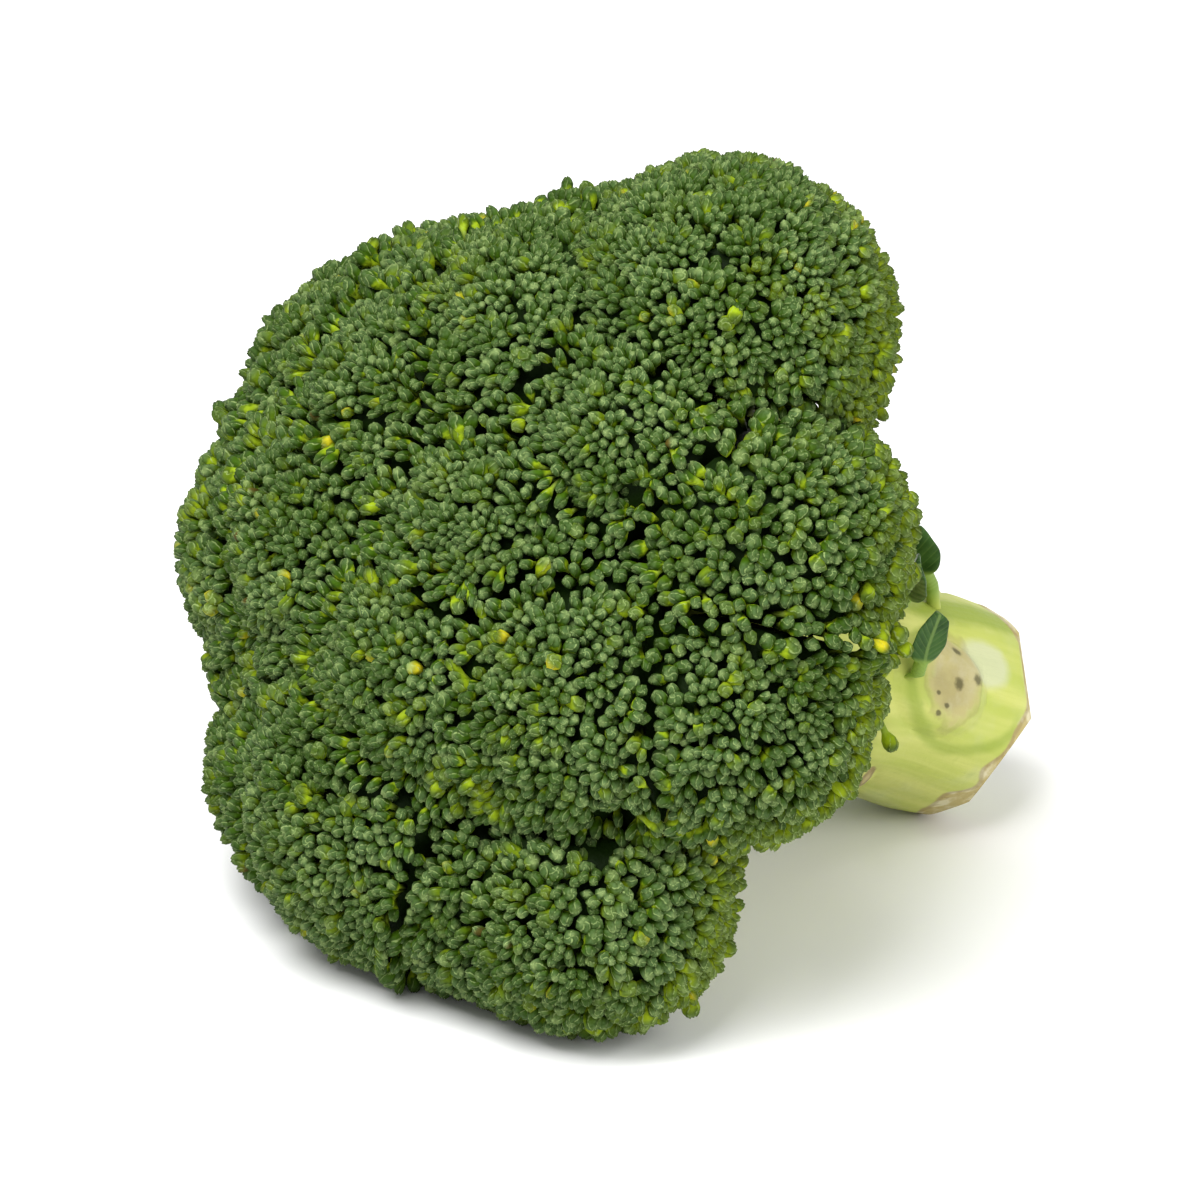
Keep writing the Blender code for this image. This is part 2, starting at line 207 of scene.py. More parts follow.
# The small leaves: around, in degrees, height of the root, how far out and how high the tip is, the
# blade's half width, the sideways swing of the tip in degrees, how far the blade turns about its
# midrib in degrees, and how much higher than its root the leafstalk meets the stalk.
SMALL_LEAVES = [
    (74.0, 25.2, 33.0, 39.5, 5.4, 6.5, -30.0, -3.5),
    (19.0, 38.0, 31.4, 41.4, 3.7, 21.5, 25.0, 0.5),
    (42.0, 49.0, 50.0, 70.0, 4.0, -5.0, 0.0, -3.5),
    (-158.0, 42.0, 55.0, 76.0, 7.0, -5.0, 0.0, -3.5),
]
LEAF_ROOT_RADIUS = 23.0
LEAFSTALK_RADIUS = 1.35
LEAF_FOOT = 19.0  # how far from the axis the leafstalk ends, inside the stalk
LEAF_THICKNESS = 1.2
LEAF_SIDES = 24
LEAF_RINGS = 44
LEAF_CUP = 0.35  # how far the blade's edges stand up, in half widths
BLADE_FROM = 0.5  # the share of the leaf's length at which the blade begins

# The camera, as the photograph has it: the crown's width across the picture, and where it looks from.
PICTURE_WIDTH = 222.0
CAMERA_AZIMUTH = -43.3
CAMERA_ELEVATION = 24.6
CAMERA_ROLL = 3.2
CAMERA_DISTANCE = 6000.0
CAMERA_AIM = (-22.7, -9.2, 69.8)
SENSOR_WIDTH = 36.0
LIGHT_AIM = 0.07  # the height, in metres, that the lights face


def around_axis(degrees, out, up):
    """A point at an angle round the stalk's axis, a distance out from it and a height up it."""
    angle = math.radians(degrees)
    return Vector((out * math.cos(angle), out * math.sin(angle), up))


def read_profile(profile, share):
    """The value of a list of (share, value) at a share, eased between its entries."""
    for (low, value), (high, following) in zip(profile, profile[1:]):
        if share <= high:
            part = (share - low) / (high - low)
            eased = part * part * (3.0 - 2.0 * part)
            return value + (following - value) * eased
    return profile[-1][1]


def smooth(low, high, value):
    """A soft step from zero at low to one at high."""
    part = np.clip((value - low) / (high - low), 0.0, 1.0)
    return part * part * (3.0 - 2.0 * part)


class Floret:
    """One floret's ball, the way it faces, and the planes that bound it."""

    def __init__(self, name, ring, around, out, up, radius):
        self.name = name
        self.centre = around_axis(around, out, CROWN_LEVEL + up)
        self.radius = float(radius)
        self.root = Vector((0.0, 0.0, BRANCH_HEIGHT[ring]))
        self.faces = (self.centre - self.root).normalized()
        self.drop = UNDERSIDE_DROP[ring]
        self.scale = BUD_SCALE.get(name, BUD_SCALE[ring])
        self.normals = []
        self.distances = []
        self.joins = []

    def press_against(self, other):
        """Adds the plane in which two overlapping balls meet, half the gap short of it."""
        between = other.centre - self.centre
        apart = between.length
        if apart < self.radius + other.radius:
            reach = (apart**2 + self.radius**2 - other.radius**2) / (2.0 * apart)
            self.normals.append(tuple(between / apart))
            self.distances.append(reach - NEIGHBOUR_GAP / 2.0)
            self.joins.append(min(LOOSE_FLORETS.get(name, 1.0) for name in (self.name, other.name)))

    def rest_on(self, down, level):
        """Adds the surface, whose points lie at a level along the direction down."""
        self.normals.append(tuple(down))
        self.distances.append(level - self.centre.dot(down))
        self.joins.append(0.0)

    def to_planes(self, directions):
        """How far each plane is from this floret's centre along each direction."""
        towards = directions @ np.array(self.normals).T
        return np.where(towards > 1e-6, np.array(self.distances) / np.maximum(towards, 1e-6), np.inf)

    def reach(self, directions, with_floor=True):
        """How far the planes let this floret go from its centre. The surface it lies on is the last."""
        allowed = self.to_planes(directions)
        return allowed.min(axis=1) if with_floor else allowed[:, :-1].min(axis=1)

    def sunk(self, directions):
        """How much lower the floret is in its dark holes."""
        surface = np.array(self.centre) + directions * self.radius
        lower = np.zeros(len(directions))
        for middle, size, depth in DARK_HOLES:
            away = np.linalg.norm(surface - np.array(middle), axis=1)
            lower += depth * (1.0 - smooth(0.3 * size, size, away))
        return lower

    def rise(self, directions, inside=False):
        """How much higher the floret is near its neighbours, which it joins, or lower in a dark hole."""
        near = 1.0 - smooth(0.0, JOIN_WIDTH, self.to_planes(directions) - self.radius)
        joins = np.sign(self.joins) if inside else np.array(self.joins)
        return JOIN_RISE * (near * joins).max(axis=1) - self.sunk(directions)


def make_florets():
    """All florets, ring by ring, each pressed against its neighbours."""
    florets = []
    for ring, rows in (("top", TOP_FLORETS), ("middle", MIDDLE_FLORETS), ("rim", RIM_FLORETS)):
        for number, row in enumerate(rows, start=1):
            florets.append(Floret(f"floret_{ring}_{number}", ring, *row))
    for floret in florets:
        for other in florets:
            if other is not floret:
                floret.press_against(other)
    return florets


def resting_direction(florets):
    """The direction down, in the upright head's axes, when two rim florets and the cut end touch."""
    rim = [floret for floret in florets if "rim" in floret.name]
    first, second = (rim[index] for index in RESTING_RIM)
    level = 0.0
    down = Vector((0.0, -1.0, -0.5)).normalized()
    for _ in range(40):
        edge = Vector((down.x, down.y, 0.0)).normalized() * STALK_RADIUS
        contacts = Matrix((first.centre, second.centre, edge)).inverted()
        start = contacts @ Vector((-first.radius, -second.radius, 0.0))
        slope = contacts @ Vector((1.0, 1.0, 1.0))
        a, b, c = slope.dot(slope), 2.0 * start.dot(slope), start.dot(start) - 1.0
        root = math.sqrt(b * b - 4.0 * a * c)
        levels = [(-b - root) / (2.0 * a), (-b + root) / (2.0 * a)]
        level = max(levels, key=lambda value: down.dot(start + value * slope))
        down = start + level * slope
    return down, level - GROUND_CUT


def lying_frame(florets, down, level):
    """The matrix that takes the upright head's millimetres to the frame's metres, as the solids lie."""
    up = -down
    stalkward = Vector((0.0, 0.0, -1.0))
    forward = (stalkward - up * stalkward.dot(up)).normalized()
    turn = Matrix((forward, up.cross(forward), up))
    crown = [(turn @ floret.centre, floret.radius) for floret in florets]
    cut_end = STALK_RADIUS * math.sqrt(1.0 - (turn @ stalkward).x ** 2)
    low_x = min(centre.x - radius for centre, radius in crown)
    low_y = min(centre.y - radius for centre, radius in crown)
    high_y = max(centre.y + radius for centre, radius in crown)
    middle = Vector(((low_x + cut_end) / 2.0, (low_y + high_y) / 2.0, -level))
    return Matrix.Translation(-middle * MM) @ Matrix.Scale(MM, 4) @ turn.to_4x4()


def growth_values(count, along, tone, ripe=0.0, stem=0.0):
    """For each point: how far down its bud or stem it is, tone, ripeness, and how much it is stem."""
    growth = np.zeros((count, 4))
    growth[:, 0], growth[:, 1], growth[:, 2], growth[:, 3] = along, tone, ripe, stem
    return growth


class Skin:
    """Points, faces and growth values of a piece, gathered part by part."""

    def __init__(self):
        self.points = []
        self.faces = []
        self.growth = []
        self.inside_bud = []
        self.count = 0

    def add(self, points, faces, growth, inside_bud=(0.0, 0.0, 0.0)):
        """Adds one part. Faces is a list of arrays, one for each number of corners.

        Inside_bud is each point's place in its own bud, from the tip, in radii of the bud.
        """
        self.points.append(points)
        self.faces += [np.asarray(part) + self.count for part in faces]
        self.growth.append(np.broadcast_to(growth, (len(points), 4)))
        self.inside_bud.append(np.broadcast_to(inside_bud, (len(points), 3)))
        self.count += len(points)

    def make(self, name, matrix):
        """The mesh object, laid down in the frame's metres."""
        turned = np.array(matrix)
        points = np.concatenate(self.points) @ turned[:3, :3].T + turned[:3, 3]
        corners = np.concatenate([part.ravel() for part in self.faces])
        sizes = np.concatenate([np.full(len(part), part.shape[1]) for part in self.faces])
        mesh = bpy.data.meshes.new(name)
        mesh.vertices.add(len(points))
        mesh.vertices.foreach_set("co", points.astype(np.float32).ravel())
        mesh.loops.add(len(corners))
        mesh.loops.foreach_set("vertex_index", corners.astype(np.int32))
        mesh.polygons.add(len(sizes))
        mesh.polygons.foreach_set("loop_start", (np.cumsum(sizes) - sizes).astype(np.int32))
        mesh.polygons.foreach_set("use_smooth", np.ones(len(sizes), dtype=bool))
        layer = mesh.attributes.new("growth", "FLOAT_COLOR", "POINT")
        layer.data.foreach_set("color", np.concatenate(self.growth).astype(np.float32).ravel())
        layer = mesh.attributes.new("inside_bud", "FLOAT_VECTOR", "POINT")
        layer.data.foreach_set("vector", np.concatenate(self.inside_bud).astype(np.float32).ravel())
        mesh.update(calc_edges=True)
        mesh.validate()
        obj = bpy.data.objects.new(name, mesh)
        bpy.context.scene.collection.objects.link(obj)
        return obj


def take_shape(obj):
    """A modelled object's points, and its faces sorted by their number of corners. It is then removed."""
    mesh = obj.data
    points = np.zeros(len(mesh.vertices) * 3)
    mesh.vertices.foreach_get("co", points)
    by_corners = {}
    for face in mesh.polygons:
        by_corners.setdefault(len(face.vertices), []).append(tuple(face.vertices))
    bpy.data.objects.remove(obj)
    return points.reshape(-1, 3), [np.array(rows) for rows in by_corners.values()]


def model_bud():
    """One closed bud on its stem, tip at zero and stem down -Z, with grooves between its sepals."""
    bpy.ops.object.select_all(action="DESELECT")
    depth, radius = BUD_PROFILE[0]
    bpy.ops.mesh.primitive_circle_add(
        vertices=BUD_SIDES, radius=radius, fill_type="NGON", location=(0.0, 0.0, -depth)
    )
    bud = bpy.context.object
    bpy.ops.object.transform_apply(location=True)
    bpy.ops.object.mode_set(mode="EDIT")
    bpy.ops.mesh.select_all(action="SELECT")
    for (depth, radius), (next_depth, next_radius) in zip(BUD_PROFILE, BUD_PROFILE[1:]):
        rise = (0.0, 0.0, depth - next_depth)
        bpy.ops.mesh.extrude_region_move(TRANSFORM_OT_translate={"value": rise})
        spread = next_radius / radius
        bpy.ops.transform.resize(value=(spread, spread, 1.0), center_override=(0.0, 0.0, -next_depth))
    bpy.ops.mesh.poke(offset=-BUD_DIMPLE)
    bpy.ops.mesh.select_all(action="SELECT")
    bpy.ops.mesh.normals_make_consistent(inside=False)
    bpy.ops.object.mode_set(mode="OBJECT")
    points, faces = take_shape(bud)

    # Every other side is a groove between two sepals, from the bud's widest part up.
    around = np.arctan2(points[:, 1], points[:, 0]) * BUD_SIDES / math.tau
    off_axis = np.hypot(points[:, 0], points[:, 1]) > 0.1
    groove = (np.round(around) % 2 == 1) & (points[:, 2] > -2.6) & off_axis
    points[groove, :2] *= SEPAL_GROOVE
    top = off_axis & (points[:, 2] > -0.1)
    points[top & ~groove, 2] += SEPAL_TIP / 2.0
    points[top & groove, 2] -= SEPAL_TIP / 2.0
    return points, faces


def model_ball():
    """Directions and faces of an even ball, for the florets' insides."""
    bpy.ops.object.select_all(action="DESELECT")
    bpy.ops.mesh.primitive_ico_sphere_add(subdivisions=3, radius=1.0, location=(0.0, 0.0, 0.0))
    points, faces = take_shape(bpy.context.object)
    return points / np.linalg.norm(points, axis=1)[:, None], faces


def model_tube(sides, rings):
    """Ring and side numbers and faces of a closed tube whose length has a number of rings."""
    numbers = np.stack(np.meshgrid(np.arange(rings), np.arange(sides), indexing="ij"), -1).reshape(-1, 2)
    walls = []
    for ring in range(rings - 1):
        for side in range(sides):
            following = (side + 1) % sides
            a, b = ring * sides + side, ring * sides + following
            walls.append((a, b, b + sides, a + sides))
    last = (rings - 1) * sides
    ends = [tuple(range(sides))[::-1], tuple(range(last, last + sides))]
    return numbers, [np.array(walls), np.array(ends)]


def spiral_directions(count):
    """Directions spread evenly over a ball along a golden spiral."""
    step = np.arange(count)
    height = 1.0 - (2.0 * step + 1.0) / count
    ring = np.sqrt(1.0 - height**2)
    return np.stack([ring * np.cos(GOLDEN_ANGLE * step), ring * np.sin(GOLDEN_ANGLE * step), height], -1)


def side_vectors(directions):
    """Two unit vectors at right angles to each direction."""
    helper = np.where(np.abs(directions[:, 2:3]) < 0.9, [[0.0, 0.0, 1.0]], [[1.0, 0.0, 0.0]])
    side = np.cross(directions, helper)
    side /= np.linalg.norm(side, axis=1)[:, None]
    return side, np.cross(directions, side)


def unit(vectors):
    """Vectors at length one."""
    return vectors / np.linalg.norm(vectors, axis=1)[:, None]


def cluster_directions(floret, random):
    """The directions of a floret's bud clusters from its centre, evenly spread and then disturbed."""
    count = round(4.0 * math.pi * floret.radius**2 / (CLUSTER_PITCH**2 * math.sqrt(0.75)))
    turn = np.linalg.qr(random.normal(size=(3, 3)))[0]
    directions = spiral_directions(count) @ turn
    side, over = side_vectors(directions)
    shift = random.normal(size=(count, 2)) * CLUSTER_JITTER * CLUSTER_PITCH / floret.radius / 2.0
    return unit(directions + side * shift[:, :1] + over * shift[:, 1:])


class Crown:
    """All buds placed so far, so that no two stand in the same place."""

    def __init__(self):
        self.middles = np.zeros((0, 3))

    def near(self, floret):
        """The middles of the buds that lie within reach of a floret."""
        away = np.linalg.norm(self.middles - np.array(floret.centre), axis=1)
        return self.middles[away < floret.radius + 3.0]

    def keep(self, middles):
        """Notes the middles of a floret's buds."""
        self.middles = np.concatenate([self.middles, middles])


def has_room(middles, placed, gap):
    """Which buds' middles stand at least a gap away from all placed ones."""
    if not len(placed):
        return np.ones(len(middles), dtype=bool)
    away = middles[:, None, :] - placed[None, :, :]
    return (away**2).sum(axis=2).min(axis=1) > gap**2


def grow_buds(floret, clusters, crown, random):
    """Each bud's tip, the way it points, its size, tone and ripeness."""
    faces = np.array(floret.faces)
    centre = np.array(floret.centre)
    radius = floret.radius
    gap = BUD_GAP * BUD_PITCH
    waves = random.normal(size=(3, 3)) * SWELL_WAVES
    phases = random.uniform(0.0, math.tau, 3)
    side, over = side_vectors(clusters)
    placed = crown.near(floret)
    rows = []

    def swell(direction):
        """How much lower the floret's surface lies in each direction."""
        return FLORET_SWELL * (0.5 + np.sin(direction @ waves.T + phases).sum(axis=1) / 6.0)

    def accept(direction, height, heading, size, tone, ripe, apart):
        """Keeps the buds that stand on their own floret and have room."""
        nonlocal placed
        middles = centre + direction * (height - BUD_MIDDLE)[:, None]
        own = (direction @ faces > UNDERSIDE_FROM) & (floret.sunk(direction) < HOLE_BARE)
        own &= floret.reach(direction, with_floor=False) > height - PAST_NEIGHBOUR
        own &= has_room(middles, placed, apart)
        if own.any():
            tips = middles + heading * BUD_MIDDLE
            rows.append([part[own] for part in (middles, tips, heading, size, tone, ripe)])
            placed = np.concatenate([placed, middles[own]])

    for number, middle in enumerate(clusters):
        if middle @ faces < UNDERSIDE_FROM - CLUSTER_PAST:
            continue
        rimward = smooth(0.5, -0.2, middle @ faces)
        scale = floret.scale * random.uniform(*CLUSTER_SCALE) * (1.0 + RIM_SCALE * rimward)
        spacing = SPIRAL_SPACING * BUD_PITCH * scale
        in_cluster = round((CLUSTER_REACH * CLUSTER_PITCH / spacing) ** 2)
        step = np.arange(in_cluster)
        angle = random.uniform(0.0, math.tau) + GOLDEN_ANGLE * step
        away = spacing * np.sqrt(step + 0.35)
        jitter = random.normal(size=(2, in_cluster)) * BUD_JITTER * BUD_PITCH
        flat = np.stack([away * np.cos(angle), away * np.sin(angle)]) + jitter
        lean = flat[0][:, None] * side[number] + flat[1][:, None] * over[number]
        direction = unit(middle * radius + lean)
        own = direction @ middle >= (direction @ clusters.T).max(axis=1) - 1e-9
        direction, lean, away = direction[own], lean[own], away[own]
        count = len(away)
        dome = away**2 / (2.0 * CLUSTER_CURVE)
        sink = CLUSTER_SINK * random.uniform() ** 2 + dome * CLUSTER_DOME + random.uniform(0.0, 0.6, count)
        stray = (random.uniform(size=count) < STRAY_SHARE) * smooth(0.0, 0.3, direction @ faces)
        height = radius + SWELL_ABOVE - np.minimum(sink + swell(direction), DEEPEST_TIP)
        height += floret.rise(direction) + STRAY_RISE * stray + rimward * random.uniform(*RIM_UNEVEN, count)
        shake = random.normal(size=lean.shape) * (0.9 + 0.5 * rimward + 2.4 * stray)[:, None]
        shake = np.clip(shake, -4.0, 4.0)
        heading = unit(middle * CLUSTER_CURVE + lean * CLUSTER_SPLAY + shake)
        tone = 0.5 * random.uniform() + 0.5 * random.uniform(size=count)
        tone[random.uniform(size=count) < BROWN_SHARE] = BROWN_TONE
        rim = smooth(0.75, -0.3, direction @ faces) * random.uniform(0.3, 1.1, count)
        fresh = (random.uniform() < FRESH_SHARE) * random.uniform(0.2, 0.5)
        low = smooth(0.2, -0.5, direction[:, 2]) * random.uniform(0.2, 0.7, count)
        spot = (random.uniform(size=count) < YELLOW_SHARE) * random.uniform(0.5, 1.0, count)
        size = scale * (0.92 + 0.03 * away) * random.uniform(0.84, 1.14, count) * (1.0 + 0.12 * stray)
        ripe = 0.5 * rim + low + fresh * random.uniform(0.1, 1.0, count) + 0.3 * stray
        ripe = np.clip(np.minimum(ripe, RIPEST_GREEN) + spot, 0.0, 1.0)
        accept(direction, height, heading, size, tone, ripe, gap * scale)

    # Buds fill what is left between the clusters. They stand a little lower.
    turn = np.linalg.qr(random.normal(size=(3, 3)))[0]
    fill = spiral_directions(round(4.0 * math.pi * radius**2 / FILL_AREA)) @ turn
    heights = radius + SWELL_ABOVE - FILL_SINK - swell(fill) - random.uniform(0.0, 0.8, len(fill))
    heights += floret.rise(fill)
    for direction, height in zip(fill, heights):
        one = np.array([direction])
        heading = unit(one + random.normal(size=(1, 3)) * 0.1)
        rim = smooth(0.45, -0.3, one @ faces) * 0.5
        size, tone = random.uniform((0.87 * floret.scale, 0.0), (1.02 * floret.scale, 0.8))
        values = (np.array([size]), np.array([tone]), rim)
        accept(one, np.array([height]), heading, *values, gap * floret.scale)

    middles, *parts = [np.concatenate(part) for part in zip(*rows)]
    crown.keep(middles)
    return parts


def loose_buds(name):
    """The single buds of a piece, given as grow_buds() gives them."""
    rows = [(tip, foot) for owner, tip, foot in LOOSE_BUDS if owner == name]
    tips, feet = np.array(rows).reshape(-1, 2, 3).transpose(1, 0, 2)
    count = len(rows)
    looks = (np.full(count, 1.08), np.full(count, 0.6), np.full(count, 0.5))
    return (tips, unit(tips - feet), *looks)


def add_buds(skin, bud, buds, random, down, level, loose=0):
    """Copies the bud to every place, each with its own turn, size and colour values.

    The last ones may hang loose. Their stems are seen, and so are as pale as other stems.
    """
    shape, faces = bud
    tips, heading, sizes, tones, ripeness = buds
    count = len(tips)
    side, over = side_vectors(heading)
    spin = random.uniform(0.0, math.tau, count)[:, None]
    across = side * np.cos(spin) + over * np.sin(spin)
    beside = np.cross(heading, across)
    wide = sizes * random.uniform(*BUD_WIDE, count)
    thick = sizes * random.uniform(*BUD_THICK, count)
    tall = random.uniform(*BUD_TALL, count)
    # Each bud's body leans a little to one side of its stem, so that no two have the same outline.
    body = smooth(-3.6, -1.5, shape[:, 2])
    lean = random.normal(size=(2, count, 1)) * BUD_LEAN * body
    points = (
        tips[:, None, :]
        + (shape[:, 0] + lean[0])[:, :, None] * (across * wide[:, None])[:, None, :]
        + (shape[:, 1] + lean[1])[:, :, None] * (beside * thick[:, None])[:, None, :]
        + shape[None, :, 2, None] * (heading * tall[:, None])[:, None, :]
    )
    # A bud that would dip under the surface is lifted onto it.
    below = np.maximum((points @ np.array(down)).max(axis=1) - (level - 0.05), 0.0)
    points -= below[:, None, None] * np.array(down)
    growth = np.zeros((count, len(shape), 4))
    growth[:, :, 0] = np.clip(-shape[:, 2] / BUD_LENGTH, 0.0, 1.0)
    growth[:, :, 1] = tones[:, None]
    growth[:, :, 2] = ripeness[:, None]
    growth[count - loose :, :, 3] = smooth(-2.8, -4.6, shape[:, 2]) * 0.75
    inside_bud = np.broadcast_to(shape / BUD_RADIUS, (count, len(shape), 3)).reshape(-1, 3)
    offsets = np.arange(count)[:, None, None] * len(shape)
    copied = [(part[None] + offsets).reshape(-1, part.shape[1]) for part in faces]
    skin.add(points.reshape(-1, 3), copied, growth.reshape(-1, 4), inside_bud)


def add_inside(skin, floret, ball):
    """The floret's inside: a ball under the buds, pressed flat as the floret is, with a cone beneath."""
    directions, ball_faces = ball
    faces = np.array(floret.faces)
    depth = np.full(len(directions), floret.radius - CORE_DEPTH)
    ripple = np.sin(directions @ np.array([9.0, 4.0, 2.0]))
    depth += 0.5 * ripple * np.sin(directions @ np.array([-3.0, 7.0, 8.0]))
    depth = np.minimum(depth + floret.rise(directions, inside=True), floret.reach(directions) - 0.05)
    forward = directions @ faces
    aside = np.sqrt(np.maximum(1.0 - forward**2, 0.0))
    slope = CORE_CONE * aside - forward
    cone = np.where(slope > 1e-3, floret.drop / np.maximum(slope, 1e-3), np.inf)
    under = cone < depth
    depth = np.minimum(depth, cone)
    # Painted shade: the inside's top takes the dark colour of the deep stems, so the gaps between clusters
    # read as shaded. Its underside takes the stems' pale green.
    growth = growth_values(len(directions), 1.0, 0.2, stem=np.where(under, 0.9, 0.0))
    skin.add(np.array(floret.centre) + directions * depth[:, None], ball_faces, growth)


def add_twigs(skin, floret, clusters, tube):
    """Thin stems that fan out from the end of the branch to the clusters round the floret's rim."""
    numbers, tube_faces = tube
    faces = np.array(floret.faces)
    centre = np.array(floret.centre)
    share = numbers[:, 0] / (TWIG_RINGS - 1.0)
    angle = math.tau * numbers[:, 1] / TWIG_SIDES
    reach = floret.reach(clusters)
    for middle, allowed in zip(clusters, reach):
        forward = middle @ faces
        if forward < -0.6 or forward > 0.55 or allowed < floret.radius - 6.0:
            continue
        outward = middle - forward * faces
        outward /= np.linalg.norm(outward)
        start = centre - faces * (floret.drop + 3.0) + outward * TWIG_START
        end = centre + middle * (floret.radius - TWIG_END)
        bend = centre - faces * (floret.drop - 4.0) + outward * 0.62 * floret.radius
        s = share[:, None]
        path = start * (1.0 - s) ** 2 + bend * (2.0 * s * (1.0 - s)) + end * s**2
        along = unit((bend - start) * (1.0 - s) + (end - bend) * s)
        side, over = side_vectors(along)
        radius = TWIG_RADIUS[0] + (TWIG_RADIUS[1] - TWIG_RADIUS[0]) * share
        points = path + (side * np.cos(angle)[:, None] + over * np.sin(angle)[:, None]) * radius[:, None]
        skin.add(points, tube_faces, growth_values(len(points), 0.9, 0.5, stem=1.0 - 0.8 * share))


def dress_floret(floret, number, crown, bud, ball, tube, matrix, down, level):
    """One floret in full: its inside, its twigs and its buds."""
    random = np.random.default_rng(100 + number)
    clusters = cluster_directions(floret, random)
    skin = Skin()
    add_inside(skin, floret, ball)
    add_twigs(skin, floret, clusters, tube)
    loose = loose_buds(floret.name)
    buds = [np.concatenate(pair) for pair in zip(grow_buds(floret, clusters, crown, random), loose)]
    add_buds(skin, bud, buds, random, down, level, len(loose[0]))
    return skin.make(f"{floret.name}_buds", matrix)


def stalk_radius(around, height):
    """The stalk's radius at each angle in radians and height, with its leaf scars."""
    profile = np.array([read_profile(STALK_PROFILE, value) for value in height / STALK_TOP])
    ridges = 0.022 * np.cos(3.0 * around + 0.4) + 0.016 * np.cos(5.0 * around + 1.1)
    ridges += 0.004 * np.cos(11.0 * around + 0.05 * height) + 0.003 * np.cos(17.0 * around + 2.0)
    plain = STALK_RADIUS * profile * (1.0 + ridges)
    radius = plain
    for degrees, level, half_width, half_length, stands_out in LEAF_SCARS:
        turn = around - math.radians(degrees)
        turn = np.arctan2(np.sin(turn), np.cos(turn))
        away = (plain * turn / half_width) ** 2 + ((height - level) / half_length) ** 2
        stub = plain + SCAR_STUB * (1.0 - away / SCAR_EDGE)
        flat = (STALK_RADIUS + stands_out) / np.maximum(np.cos(turn), 0.5)
        radius = np.where(away < SCAR_EDGE, np.maximum(radius, np.minimum(stub, flat)), radius)
        ring = (np.sqrt(away) - SCAR_RING) / SCAR_GROOVE_WIDTH
        radius = radius - SCAR_GROOVE * np.exp(-(ring**2))
    return radius


def model_trunk():
    """The trunk: a cylinder cut into fine rings, shaped by its radius at each place."""
    bpy.ops.object.select_all(action="DESELECT")
    bpy.ops.mesh.primitive_cylinder_add(
        vertices=TRUNK_SIDES, radius=STALK_RADIUS, depth=STALK_TOP, location=(0.0, 0.0, STALK_TOP / 2.0)
    )
    trunk = bpy.context.object
    bpy.ops.object.transform_apply(location=True)
    bpy.ops.object.mode_set(mode="EDIT")
    shape = bmesh.from_edit_mesh(trunk.data)
    for edge in shape.edges:
        edge.select_set(abs(edge.verts[0].co.z - edge.verts[1].co.z) > 1.0)
    bmesh.update_edit_mesh(trunk.data)
    bpy.ops.mesh.subdivide(number_cuts=TRUNK_RINGS)
    bpy.ops.object.mode_set(mode="OBJECT")
    points = np.zeros(len(trunk.data.vertices) * 3)
    trunk.data.vertices.foreach_get("co", points)
    points = points.reshape(-1, 3)
    around = np.arctan2(points[:, 1], points[:, 0])
    radius = stalk_radius(around, points[:, 2])
    points[:, 0] = radius * np.cos(around)
    points[:, 1] = radius * np.sin(around)
    trunk.data.vertices.foreach_set("co", points.ravel())
    trunk.data.update()
    return trunk


def slice_trunk(trunk, point, normal):
    """Cuts away what lies beyond a plane and closes the cut, as a knife does."""
    bpy.ops.object.mode_set(mode="EDIT")
    bpy.ops.mesh.select_all(action="SELECT")
    bpy.ops.mesh.bisect(plane_co=point, plane_no=normal, use_fill=True, clear_outer=True)
    bpy.ops.object.mode_set(mode="OBJECT")


def add_branch(floret, collection):
    """One branch, from inside the trunk to just under its floret, splitting into ribs as it spreads."""
    numbers, tube_faces = model_tube(BRANCH_SIDES, BRANCH_RINGS)
    end = np.array(floret.centre - floret.faces * (floret.drop - 1.0))
    root = np.array(floret.root)
    share = numbers[:, 0] / (BRANCH_RINGS - 1.0)
    angle = math.tau * numbers[:, 1] / BRANCH_SIDES
    side, over = side_vectors(np.tile(np.array(floret.faces), (len(numbers), 1)))
    direction = side * np.cos(angle)[:, None] + over * np.sin(angle)[:, None]
    radius = np.array([read_profile(BRANCH_PROFILE, value) for value in share])
    ribs = 0.5 + 0.5 * np.cos(BRANCH_LOBES * angle + floret.centre.x)
    radius *= 1.0 - LOBE_DEPTH * smooth(0.35, 1.0, share) * (1.0 - ribs**0.6)
    middle = root + (end - root) * share[:, None]
    room = np.array(floret.distances) - (middle - np.array(floret.centre)) @ np.array(floret.normals).T
    towards = direction @ np.array(floret.normals).T
    allowed = np.where(towards > 1e-6, (room - 0.5) / np.maximum(towards, 1e-6), np.inf).min(axis=1)
    narrowed = np.minimum(radius, np.maximum(allowed, 2.0))
    radius += (narrowed - radius) * smooth(0.35, 0.75, share)
    mesh = bpy.data.meshes.new("branch")
    faces = [face for part in tube_faces for face in part.tolist()]
    mesh.from_pydata((middle + direction * radius[:, None]).tolist(), [], faces)
    branch = bpy.data.objects.new(f"branch_{floret.name}", mesh)
    collection.objects.link(branch)


